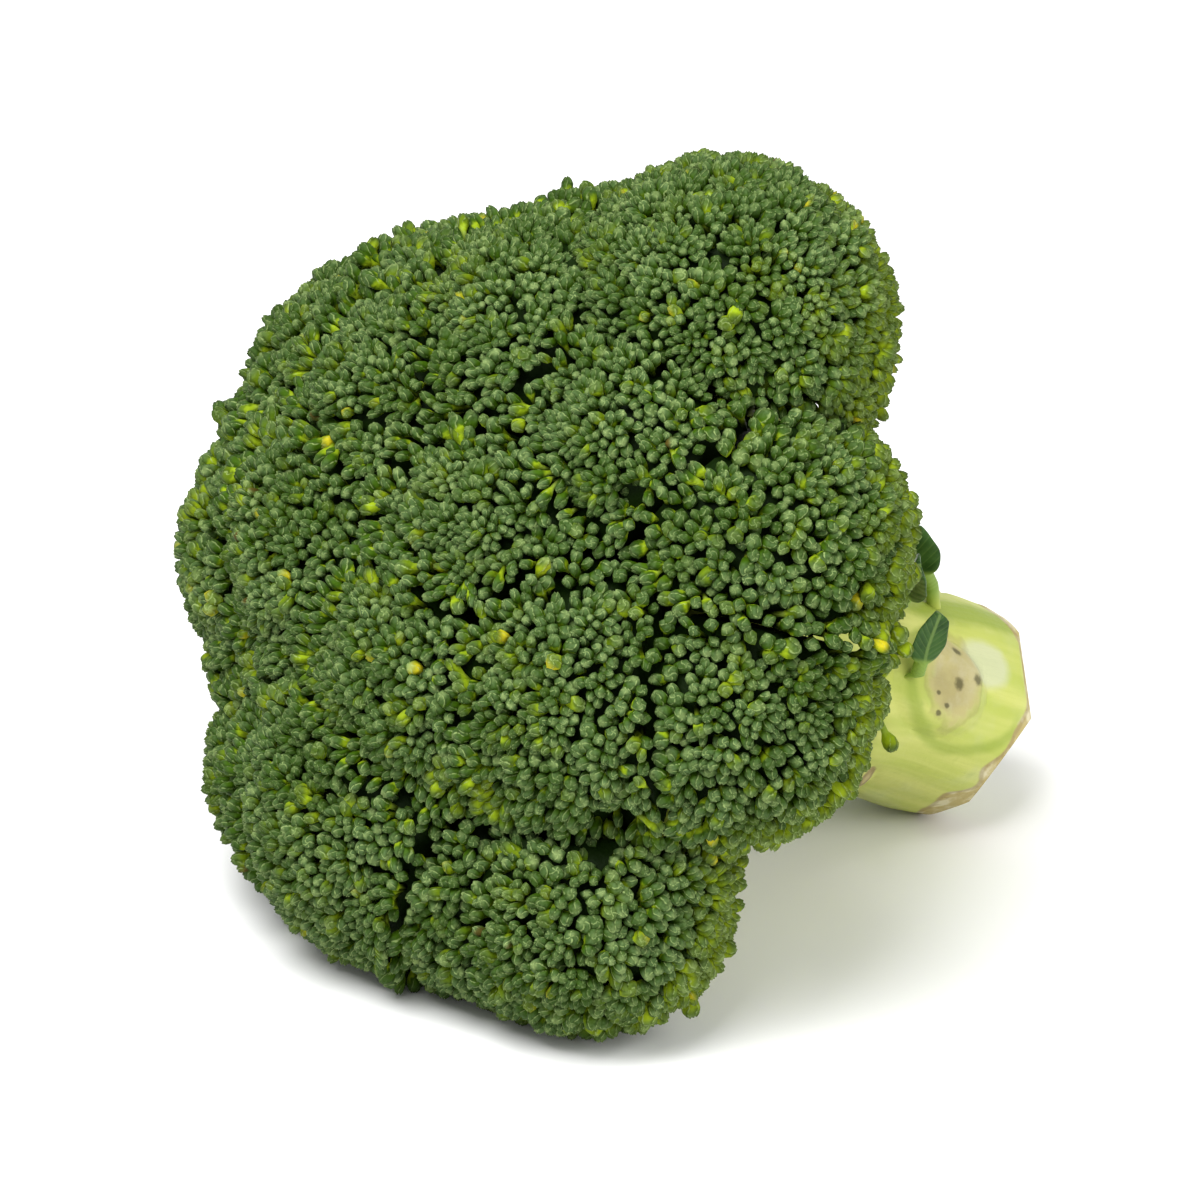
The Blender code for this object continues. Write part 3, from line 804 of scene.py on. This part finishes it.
def dress_stalk(florets, bud, bud_skin, matrix, down, level):
    """The stalk in full: trunk, knife cuts and branches, joined into one skin, and its single bud."""
    trunk = model_trunk()
    for degrees, lean, depth in RIM_CUTS:
        outward = around_axis(degrees, 1.0, 0.0)
        normal = outward * math.sin(math.radians(lean)) - Vector((0.0, 0.0, math.cos(math.radians(lean))))
        slice_trunk(trunk, outward * STALK_RADIUS - normal * depth, normal)
    slice_trunk(trunk, down * level, down)
    branches = bpy.data.collections.new("branches")
    bpy.context.scene.collection.children.link(branches)
    for floret in florets:
        add_branch(floret, branches)
    join = trunk.modifiers.new("join branches", "BOOLEAN")
    join.operation = "UNION"
    join.operand_type = "COLLECTION"
    join.collection = branches
    bpy.context.view_layer.objects.active = trunk
    bpy.ops.object.modifier_apply(modifier=join.name)
    for branch in list(branches.objects):
        bpy.data.objects.remove(branch)
    bpy.data.collections.remove(branches)
    trunk.name = "stalk_skin"
    trunk.data.transform(matrix)
    trunk.data.shade_smooth()
    trunk.data.set_sharp_from_angle(angle=math.radians(CREASE_ANGLE))
    skin = Skin()
    add_buds(skin, bud, loose_buds("stalk"), np.random.default_rng(7), down, level, 1)
    single = skin.make("single_bud", matrix)
    trunk.data.materials.append(stalk_finish(matrix))
    single.data.materials.append(bud_skin)
    bpy.ops.object.select_all(action="DESELECT")
    single.select_set(True)
    trunk.select_set(True)
    bpy.context.view_layer.objects.active = trunk
    bpy.ops.object.join()
    return trunk


def dress_leaf(name, around, root_height, tip_out, tip_height, half_width, swing, turn, rise, matrix):
    """A small leaf: a round leafstalk that spreads into a cupped blade with a midrib and side veins."""
    numbers, tube_faces = model_tube(LEAF_SIDES, LEAF_RINGS)
    root = np.array(around_axis(around, LEAF_ROOT_RADIUS, root_height))
    tip = np.array(around_axis(around + swing, tip_out, tip_height))
    bend = np.array(around_axis(around, 0.72 * tip_out, root_height + 0.1 * (tip_height - root_height)))
    share = numbers[:, 0] / (LEAF_RINGS - 1.0)
    s = share[:, None]
    middle = root * (1.0 - s) ** 2 + bend * (2.0 * s * (1.0 - s)) + tip * s**2
    along = unit((bend - root) * (1.0 - s) + (tip - bend) * s)
    foot = np.array(around_axis(around, LEAF_FOOT, root_height + rise))
    middle += (foot - root) * (1.0 - smooth(0.0, 0.22, s))
    outward = middle * np.array([1.0, 1.0, 0.0])
    across = unit(np.cross(along, outward))
    up = np.cross(across, along)
    blade = np.maximum(0.0, (share - BLADE_FROM) / (1.0 - BLADE_FROM))
    twist = math.radians(turn) * smooth(0.35, 0.6, share)[:, None]
    across, up = across * np.cos(twist) + up * np.sin(twist), up * np.cos(twist) - across * np.sin(twist)
    spread = np.sin(math.pi * np.minimum(1.0, blade * 0.93 + 0.02)) ** 0.55
    width = LEAFSTALK_RADIUS * (1.0 - 0.3 * blade)
    width += (half_width - LEAFSTALK_RADIUS) * spread * (blade > 0.0)
    width = np.maximum(width * (1.0 - 0.75 * smooth(0.93, 1.0, blade)), 0.5)
    thick = LEAFSTALK_RADIUS + (0.5 * LEAF_THICKNESS - LEAFSTALK_RADIUS) * np.minimum(1.0, 2.5 * blade)
    angle = math.tau * numbers[:, 1] / LEAF_SIDES
    aside = width * np.cos(angle)
    cup = LEAF_CUP * (aside / half_width) ** 2 * half_width * blade
    wave = 0.35 * blade * (aside / half_width) * np.sin(26.0 * share + 1.5 * np.sign(aside))
    rib = 0.4 * blade * np.exp(-((aside / 0.6) ** 2)) * (np.sin(angle) < 0.0)
    points = middle + across * aside[:, None]
    points += up * (thick * np.sin(angle) + cup + wave - rib)[:, None]
    skin = Skin()
    skin.add(points, tube_faces, growth_values(len(points), share, 0.5 + 0.5 * aside / half_width, blade))
    return skin.make(name, matrix)


class Value:
    """A shader socket, or a number, that Python's own operators turn into Math nodes."""

    def __init__(self, tree, socket):
        self.tree = tree
        self.socket = socket

    def _math(self, operation, *inputs):
        node = self.tree.nodes.new("ShaderNodeMath")
        node.operation = operation
        for slot, value in zip(node.inputs, inputs):
            if isinstance(value, Value):
                self.tree.links.new(value.socket, slot)
            else:
                slot.default_value = value
        return Value(self.tree, node.outputs[0])

    def __add__(self, other):
        return self._math("ADD", self, other)

    def __radd__(self, other):
        return self._math("ADD", other, self)

    def __sub__(self, other):
        return self._math("SUBTRACT", self, other)

    def __rsub__(self, other):
        return self._math("SUBTRACT", other, self)

    def __mul__(self, other):
        return self._math("MULTIPLY", self, other)

    def __rmul__(self, other):
        return self._math("MULTIPLY", other, self)

    def __truediv__(self, other):
        return self._math("DIVIDE", self, other)

    def __pow__(self, other):
        return self._math("POWER", self, other)

    def absolute(self):
        return self._math("ABSOLUTE", self)

    def least(self, other):
        return self._math("MINIMUM", self, other)

    def most(self, other):
        return self._math("MAXIMUM", self, other)

    def fraction(self):
        return self._math("FRACT", self)

    def angle(self, across):
        """The angle whose tangent is this value over another."""
        return self._math("ARCTAN2", self, across)

    def step(self, low, high):
        """A soft step from zero at low to one at high."""
        node = self.tree.nodes.new("ShaderNodeMapRange")
        node.interpolation_type = "SMOOTHSTEP"
        self.tree.links.new(self.socket, node.inputs["Value"])
        node.inputs["From Min"].default_value = low
        node.inputs["From Max"].default_value = high
        return Value(self.tree, node.outputs["Result"])


class Finish:
    """A material being built: its shader, and short ways to add the nodes it needs."""

    def __init__(self, name):
        self.material = bpy.data.materials.new(name)
        self.material.use_nodes = True
        self.tree = self.material.node_tree
        self.shader = self.tree.nodes["Principled BSDF"]

    def node(self, kind, settings=(), values=(), output=0):
        """Adds a node, makes its settings, fills its sockets, and gives one of its outputs."""
        made = self.tree.nodes.new(kind)
        for name, value in dict(settings).items():
            setattr(made, name, value)
        for name, value in dict(values).items():
            self.put(made.inputs[name], value)
        return Value(self.tree, made.outputs[output])

    def put(self, socket, value):
        """Links or sets a socket."""
        if isinstance(value, Value):
            self.tree.links.new(value.socket, socket)
        elif isinstance(value, tuple) and len(value) == 3 and socket.type == "RGBA":
            socket.default_value = (*value, 1.0)
        else:
            socket.default_value = value

    def split(self, value, kind):
        """The three parts of a colour or a vector."""
        made = self.tree.nodes.new(kind)
        self.put(made.inputs[0], value)
        return [Value(self.tree, socket) for socket in made.outputs[:3]]

    def place(self):
        """Object coordinates, in metres."""
        return self.node("ShaderNodeTexCoord", output="Object")

    def upright(self, matrix):
        """The place on the upright head, in millimetres."""
        back = matrix.inverted()
        values = {
            "Vector": self.place(),
            "Scale": (1.0 / MM, 1.0 / MM, 1.0 / MM),
            "Rotation": tuple(back.to_euler()),
            "Location": tuple(back.translation),
        }
        return self.node("ShaderNodeMapping", values=values)

    def noise(self, where, scale, detail=3.0):
        """A noise between zero and one."""
        values = {"Vector": where, "Scale": scale, "Detail": detail, "Roughness": 0.55}
        return self.node("ShaderNodeTexNoise", values=values, output="Fac")

    def mix(self, share, first, second):
        """The first colour, with a share of the second over it."""
        made = self.tree.nodes.new("ShaderNodeMix")
        made.data_type = "RGBA"
        made.clamp_factor = True
        self.put(made.inputs[0], share)
        self.put(made.inputs[6], first)
        self.put(made.inputs[7], second)
        return Value(self.tree, made.outputs[2])

    def bump(self, height, distance, strength):
        """A bump whose height is given in metres."""
        values = {"Height": height, "Distance": distance, "Strength": strength}
        return self.node("ShaderNodeBump", values=values)

    def finish(self, **sockets):
        """Fills the shader's sockets and gives the material."""
        for name, value in sockets.items():
            self.put(self.shader.inputs[name.replace("_", " ")], value)
        return self.material


# Colours of the florets, in linear light.
BUD_TIP = (0.024, 0.054, 0.005)
BUD_BLOOM = (0.064, 0.110, 0.036)
BUD_SIDE = (0.034, 0.080, 0.002)
BUD_SHADE = (0.010, 0.025, 0.001)
BUD_FOOT = (0.220, 0.310, 0.008)
SEPAL_EDGE = (0.300, 0.390, 0.140)
RIPE_GREEN = (0.225, 0.300, 0.006)
RIPE_YELLOW = (0.430, 0.370, 0.012)
DRY_BROWN = (0.065, 0.048, 0.008)
TWIG_GREEN = (0.300, 0.410, 0.100)
# Painted shade: the dark green put on the stems deep among the buds and on the floret's inside, where shade
# falls.
DEEP_PAINTED_SHADE = (0.005, 0.014, 0.001)


def bud_finish():
    """Closed buds: blue-green waxy tips, greener sides and yellow-green feet, with ripe ones between."""
    made = Finish("bud_skin")
    growth = made.node("ShaderNodeAttribute", settings={"attribute_name": "growth"}, output="Color")
    stem = made.node("ShaderNodeAttribute", settings={"attribute_name": "growth"}, output="Alpha")
    along, tone, ripe = made.split(growth, "ShaderNodeSeparateColor")
    place = made.node("ShaderNodeAttribute", settings={"attribute_name": "inside_bud"}, output="Vector")
    x, y, z = made.split(place, "ShaderNodeSeparateXYZ")
    where = made.place()
    patches = made.noise(where, 28.0)
    blotches = made.noise(where, 420.0, detail=2.0)
    grain = made.noise(where, 1500.0, detail=3.0)

    # Four sepals overlap like tiles. Each one's edge runs in a bent line from the tip down the side.
    off_axis = (x * x + y * y) ** 0.5
    around = y.angle(x) * (2.0 / math.pi) + off_axis * 0.5 - z * 0.35 + (blotches - 0.5) * 0.9
    tile = around.fraction()
    edge = 1.0 - (tile.least(1.0 - tile) * (off_axis * 0.9 + 0.12)).step(0.02, 0.09)
    edge = edge * (1.0 - along.step(0.4, 0.6)) * grain.step(0.38, 0.56)
    shade = (1.0 - tile.step(0.05, 0.5)) * off_axis.step(0.15, 0.5)
    crest = (1.0 - off_axis.step(0.3, 0.75)) * blotches.step(0.4, 0.6)
    flank = (x * 0.8 + (blotches - 0.5) * 1.6).step(-0.2, 0.6)
    bud = 1.0 - along.step(0.55, 0.75)

    bloom = tone * 0.7 + patches.step(0.35, 0.7) * 0.3 + (grain - 0.5) * 2.0
    colour = made.mix(along.step(0.08, 0.4), made.mix(bloom, BUD_TIP, BUD_BLOOM), BUD_SIDE)
    sides = along.step(0.06, 0.36)
    colour = made.mix(ripe.step(0.05, 0.7) * (sides * 0.72 + 0.2), colour, RIPE_GREEN)
    colour = made.mix(shade * (0.75 - grain * 0.4), colour, BUD_SHADE)
    foot = (along + (flank - 0.5) * 0.25 + (blotches - 0.5) * 0.5 + ripe * 0.2).step(0.4, 0.66)
    colour = made.mix(foot, colour, BUD_FOOT)
    petals = (along.step(0.03, 0.25) * 0.6 + 0.4) * (1.0 - along.step(0.6, 0.9)) * flank
    colour = made.mix(ripe.step(0.6, 0.95) * petals, colour, RIPE_YELLOW)
    colour = made.mix((edge * (0.25 + tone * 0.5)).most(crest * tone * 0.45), colour, SEPAL_EDGE)
    colour = made.mix(tone.step(1.1, 1.25) * flank, colour, DRY_BROWN)
    # Painted shade: the stems deep among the buds and the top of the floret's inside are darkened, where
    # shade falls between them.
    colour = made.mix(along.step(0.7, 1.0) * (1.0 - stem), colour, DEEP_PAINTED_SHADE)
    colour = made.mix(stem.step(0.3, 0.9), colour, TWIG_GREEN)
    roughness = 0.62 - 0.1 * along + (grain - 0.5) * 0.3
    height = tile * off_axis * bud * 0.8 + blotches * 0.35 + grain * 0.25
    bump = made.bump(height, 0.0005, 0.9)
    return made.finish(Base_Color=colour, Roughness=roughness, Normal=bump, Specular_IOR_Level=0.06)


# Colours of the stalk.
STALK_PALE = (0.530, 0.545, 0.150)
STALK_GREEN = (0.400, 0.455, 0.085)
STALK_SKIN = (0.230, 0.310, 0.030)
STALK_WHITE = (0.500, 0.520, 0.320)
PATCH_WHITE = (0.520, 0.540, 0.360)
SCAR_TAN = (0.440, 0.370, 0.170)
SCAR_DOT = (0.075, 0.065, 0.020)
SCAR_BROWN = (0.200, 0.140, 0.060)
RIM_TAN = (0.420, 0.330, 0.140)
RIM_PALE = (0.620, 0.560, 0.380)
END_FLESH = (0.560, 0.580, 0.220)
END_RING = (0.330, 0.420, 0.100)

# The large scar's dots, and patches of other colours: around, height, half width, half length.
SCAR_DOTS = [
    (38.8, 24.2, 0.8, 1.3),
    (26.7, 18.5, 1.0, 1.5),
    (21.6, 24.4, 1.1, 1.3),
    (9.7, 27.2, 0.5, 0.7),
    (5.3, 29.3, 0.5, 0.7),
    (50.9, 24.4, 0.6, 0.9),
    (15.0, 30.0, 0.4, 0.6),
]
TAN_PATCH = (24.5, 25.5, 9.0, 8.6)
WHITE_PATCH = (38.0, 14.5, 5.5, 7.5)
SCAR_DIP_SHADE = (21.0, 21.0, 11.2, 17.0)  # painted shade: a dark green curved band in the dip under the large scar, on its shaded side
BROWN_SCAR = (-44.0, 33.5, 2.5, 2.3)
SKIN_BANDS = [(72.0, 5.0), (-118.0, 6.0), (158.0, 5.0)]  # around, and half width, of green skin
# Where the dry rim reaches further up the stalk: around, half width, and how far up.
RIM_PATCHES = [(-6.0, 9.0, 4.0), (-28.0, 10.0, 4.0), (-54.0, 10.0, 6.5), (140.0, 8.0, 4.0)]


def stalk_finish(matrix):
    """Trimmed stalk: pale yellow-green with fine fibres, tan leaf scars with dots, and a dry rim."""
    made = Finish("stalk_skin")
    upright = made.upright(matrix)
    x, y, z = made.split(upright, "ShaderNodeSeparateXYZ")
    where = made.place()
    clouds = made.noise(where, 60.0, detail=4.0)
    grain = made.noise(where, 700.0, detail=5.0)
    mottle = made.noise(where, 240.0, detail=3.0)
    stretched = made.node("ShaderNodeMapping", values={"Vector": upright, "Scale": (1.3, 1.3, 0.08)})
    fibres = made.noise(stretched, 1.0, detail=3.0)
    broad = made.node("ShaderNodeMapping", values={"Vector": upright, "Scale": (0.22, 0.22, 0.02)})
    streaks = made.noise(broad, 1.0, detail=2.0)

    def aside(degrees):
        """How far a place is to one side of a direction from the axis, in millimetres."""
        turn = math.radians(degrees)
        return y * math.cos(turn) - x * math.sin(turn)

    def beside(degrees, half_width):
        """How far round the stalk a place is from a direction, as a share of a half width."""
        behind = 1.0 - aside(degrees - 90.0).step(0.0, 6.0)
        return aside(degrees).absolute() / half_width + behind * 9.0

    def away(degrees, height, half_width, half_length):
        """How far a place is from a spot's middle, as a share of the spot's size."""
        across = beside(degrees, half_width)
        along = (z - height) / half_length
        return (across * across + along * along) ** 0.5

    ragged = (clouds - 0.5) * 0.7 + (mottle - 0.5) * 0.5
    colour = made.mix(streaks.step(0.3, 0.7), STALK_GREEN, STALK_PALE)
    colour = made.mix(clouds.step(0.5, 0.75) * 0.4, colour, STALK_WHITE)
    colour = made.mix(fibres.step(0.5, 0.8) * 0.35, colour, STALK_GREEN)
    colour = made.mix(mottle.step(0.6, 0.75) * 0.2, colour, STALK_SKIN)
    colour = made.mix(z.step(40.0, 75.0) * 0.6, colour, STALK_GREEN)
    for degrees, half_width in SKIN_BANDS:
        band = 1.0 - (beside(degrees, half_width) + ragged * 0.6).step(0.4, 1.1)
        colour = made.mix(band * (1.0 - z.step(40.0, 60.0)) * 0.8, colour, STALK_SKIN)
    # Painted shade: a dark green band along the dip under the large scar. The seen mask keeps it to the
    # shaded side and fades it out on the lit side.
    bend = (away(*SCAR_DIP_SHADE) + ragged * 0.12 - 1.0).absolute()
    seen = 1.0 - (aside(SCAR_DIP_SHADE[0]) + (SCAR_DIP_SHADE[1] - z) * 0.6).step(2.0, 9.0)
    colour = made.mix((1.0 - bend.step(0.02, 0.14)) * seen * 0.6, colour, STALK_SKIN)
    white = 1.0 - (away(*WHITE_PATCH) + ragged * 0.5).step(0.65, 1.05)
    colour = made.mix(white * 0.75, colour, PATCH_WHITE)
    scattered = {"Vector": upright, "Scale": 0.24, "Randomness": 0.8}
    dots = made.node("ShaderNodeTexVoronoi", values=scattered, output="Distance")
    for number, (degrees, height, half_width, half_length, _) in enumerate(LEAF_SCARS):
        spot = TAN_PATCH if number == 0 else (degrees, height, half_width, half_length)
        patch = away(*spot) + ragged
        edge = (patch - 0.98).absolute().step(0.0, 0.14)
        inside = 1.0 - patch.step(0.7, 1.05)
        tan = made.mix(mottle.step(0.4, 0.7) * 0.6, SCAR_TAN, RIM_PALE)
        tan = made.mix(clouds.step(0.5, 0.62) * 0.35, tan, SCAR_BROWN)
        colour = made.mix(inside * 0.85, colour, tan)
        colour = made.mix((1.0 - edge) * 0.25, colour, SCAR_BROWN)
        if number > 0:
            spots = (1.0 - dots.step(0.12, 0.24)) * (1.0 - patch.step(0.55, 0.8))
            colour = made.mix(spots * 0.8, colour, SCAR_DOT)
    for row in SCAR_DOTS:
        spot = away(*row) + (grain - 0.5) * 1.6
        colour = made.mix((1.0 - spot.step(0.5, 1.5)) * 0.85, colour, SCAR_DOT)
    spot = away(*BROWN_SCAR) + ragged * 0.5
    colour = made.mix((1.0 - spot.step(0.7, 1.05)) * 0.9, colour, SCAR_BROWN)
    colour = made.mix((1.0 - spot.step(0.2, 0.6)) * 0.6, colour, SCAR_TAN)

    reach = 2.4 + ragged * 2.5
    for degrees, half_width, height in RIM_PATCHES:
        reach = reach + (1.0 - beside(degrees, half_width).step(0.3, 1.1)) * height
    rim = 1.0 - (z - reach).step(-0.5, 0.5)
    rim_edge = 1.0 - (z - reach + 0.6).absolute().step(0.2, 1.0)
    dry = made.mix(mottle.step(0.45, 0.65), RIM_TAN, RIM_PALE)
    dry = made.mix(grain.step(0.55, 0.7) * 0.4, dry, SCAR_BROWN)
    colour = made.mix(rim * 0.9, colour, dry)
    colour = made.mix(rim_edge * 0.4, colour, SCAR_BROWN)

    # The cut face: a greener ring where the vessels are, between the pith and the skin.
    out = (x * x + y * y) ** 0.5
    ring = 1.0 - (out - 15.5 + (clouds - 0.5) * 3.0).absolute().step(0.3, 2.2)
    flesh = made.mix(mottle.step(0.35, 0.7) * 0.5, END_FLESH, STALK_WHITE)
    flesh = made.mix(ring * (0.4 + fibres * 0.5), flesh, END_RING)
    flesh = made.mix(out.step(18.2, 19.6), flesh, RIM_TAN)
    end = 1.0 - z.step(0.02, 0.06)
    colour = made.mix(end, colour, flesh)
    roughness = 0.5 + (grain - 0.5) * 0.25 + rim * 0.2
    bump = made.bump(fibres * 0.5 + grain * 0.35 + mottle * 0.4 * rim, 0.0003, 0.7)
    return made.finish(Base_Color=colour, Roughness=roughness, Normal=bump, Specular_IOR_Level=0.25)


# Colours of the small leaves.
LEAF_DARK = (0.014, 0.045, 0.008)
LEAF_LIGHT = (0.042, 0.100, 0.020)
LEAF_VEIN = (0.130, 0.210, 0.050)
LEAFSTALK_GREEN = (0.190, 0.290, 0.050)


def leaf_finish():
    """Small leaves: dark blue-green blades with a pale midrib, on yellow-green leafstalks."""
    made = Finish("leaf_skin")
    growth = made.node("ShaderNodeAttribute", settings={"attribute_name": "growth"}, output="Color")
    along, aside, blade = made.split(growth, "ShaderNodeSeparateColor")
    where = made.place()
    clouds = made.noise(where, 220.0, detail=4.0)
    off_rib = (aside - 0.5).absolute()
    slant = made.node("ShaderNodeCombineXYZ", values={"X": along * 4.5 - off_rib * 1.6})
    veins = made.node(
        "ShaderNodeTexWave",
        settings={"wave_type": "BANDS", "bands_direction": "X"},
        values={"Vector": slant, "Scale": 1.0, "Distortion": 1.5},
        output="Fac",
    )
    colour = made.mix(clouds.step(0.3, 0.7), LEAF_DARK, LEAF_LIGHT)
    colour = made.mix(veins.step(0.85, 1.0) * 0.22 * blade.step(0.05, 0.3), colour, LEAF_VEIN)
    colour = made.mix((1.0 - off_rib.step(0.02, 0.07)) * 0.8, colour, LEAF_VEIN)
    leafstalk = made.mix(along.step(0.04, 0.2), STALK_GREEN, LEAFSTALK_GREEN)
    colour = made.mix(1.0 - blade.step(0.0, 0.15), colour, leafstalk)
    bump = made.bump(clouds * 0.5 + veins * 0.5, 0.0002, 0.6)
    roughness = 0.42 + (clouds - 0.5) * 0.2
    return made.finish(Base_Color=colour, Roughness=roughness, Normal=bump, Specular_IOR_Level=0.15)


def floor_finish():
    """A pale matt studio floor."""
    made = Finish("studio_floor")
    clouds = made.noise(made.place(), 3.0)
    colour = made.mix(clouds, (0.86, 0.86, 0.86), (0.9, 0.9, 0.9))
    return made.finish(Base_Color=colour, Roughness=0.8)


def add_floor():
    """A wide pale floor under the head."""
    bpy.ops.object.select_all(action="DESELECT")
    bpy.ops.mesh.primitive_plane_add(size=8.0, location=(0.0, 0.0, 0.0))
    floor = bpy.context.object
    floor.name = "studio_floor"
    floor.data.materials.append(floor_finish())


def view_axes(azimuth, elevation, roll=0.0):
    """Right, up and back of a camera that looks from an azimuth and elevation, in degrees."""
    a, e, r = (math.radians(value) for value in (azimuth, elevation, roll))
    back = Vector((math.sin(a) * math.cos(e), -math.cos(a) * math.cos(e), math.sin(e)))
    level = Vector((math.cos(a), math.sin(a), 0.0))
    upright = back.cross(level)
    right = level * math.cos(r) + upright * math.sin(r)
    return right, back.cross(right), back


def stand(name, data, aim, distance, axes):
    """Puts a camera or a light at a distance from the point that it faces, in metres."""
    right, up, back = axes
    obj = bpy.data.objects.new(name, data)
    bpy.context.scene.collection.objects.link(obj)
    turn = Matrix((right, up, back)).transposed().to_4x4()
    obj.matrix_world = Matrix.Translation(aim + back * distance) @ turn
    return obj


def add_camera():
    """The camera, set as the photograph was taken."""
    data = bpy.data.cameras.new("camera")
    data.sensor_width = SENSOR_WIDTH
    data.sensor_fit = "HORIZONTAL"
    data.lens = SENSOR_WIDTH * CAMERA_DISTANCE / PICTURE_WIDTH
    data.clip_end = 20.0
    axes = view_axes(CAMERA_AZIMUTH, CAMERA_ELEVATION, CAMERA_ROLL)
    camera = stand("camera", data, Vector(CAMERA_AIM) * MM, CAMERA_DISTANCE * MM, axes)
    bpy.context.scene.camera = camera


def add_light(name, azimuth, elevation, distance, size, power):
    """A square soft light that faces the head."""
    data = bpy.data.lights.new(name, "AREA")
    data.size = size
    data.energy = power
    stand(name, data, Vector((0.0, 0.0, LIGHT_AIM)), distance, view_axes(azimuth, elevation))


def add_lights():
    """Soft studio light: a large key from the upper left, a fill from the right, and a bright room."""
    add_light("key", -75.0, 58.0, 1.3, 0.9, 30.0)
    add_light("fill", 10.0, 30.0, 1.5, 1.0, 10.0)
    world = bpy.data.worlds.new("room")
    world.use_nodes = True
    world.node_tree.nodes["Background"].inputs["Color"].default_value = (1.0, 1.0, 1.0, 1.0)
    world.node_tree.nodes["Background"].inputs["Strength"].default_value = 0.6
    bpy.context.scene.world = world
    bpy.context.scene.view_settings.view_transform = "Standard"


def wear(piece, node, material=None):
    """Ties a piece to the solid that it stands for, and gives it its finish."""
    if material:
        piece.data.materials.append(material)
    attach(piece, "root")
    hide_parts(node)


def main():
    add_camera()
    add_floor()
    add_lights()
    florets = make_florets()
    down, level = resting_direction(florets)
    matrix = lying_frame(florets, down, level)
    for floret in florets:
        floret.rest_on(down, level)
    bud, ball, tube = model_bud(), model_ball(), model_tube(TWIG_SIDES, TWIG_RINGS)
    bud_skin = bud_finish()
    crown = Crown()
    for number, floret in enumerate(florets):
        piece = dress_floret(floret, number, crown, bud, ball, tube, matrix, down, level)
        wear(piece, floret.name, bud_skin)
    wear(dress_stalk(florets, bud, bud_skin, matrix, down, level), "stalk")
    leaf_skin = leaf_finish()
    for number, row in enumerate(SMALL_LEAVES, start=1):
        leaf = dress_leaf(f"leaf_{number}_blade", *row, matrix)
        wear(leaf, f"small_leaf_{number}", leaf_skin)


main()
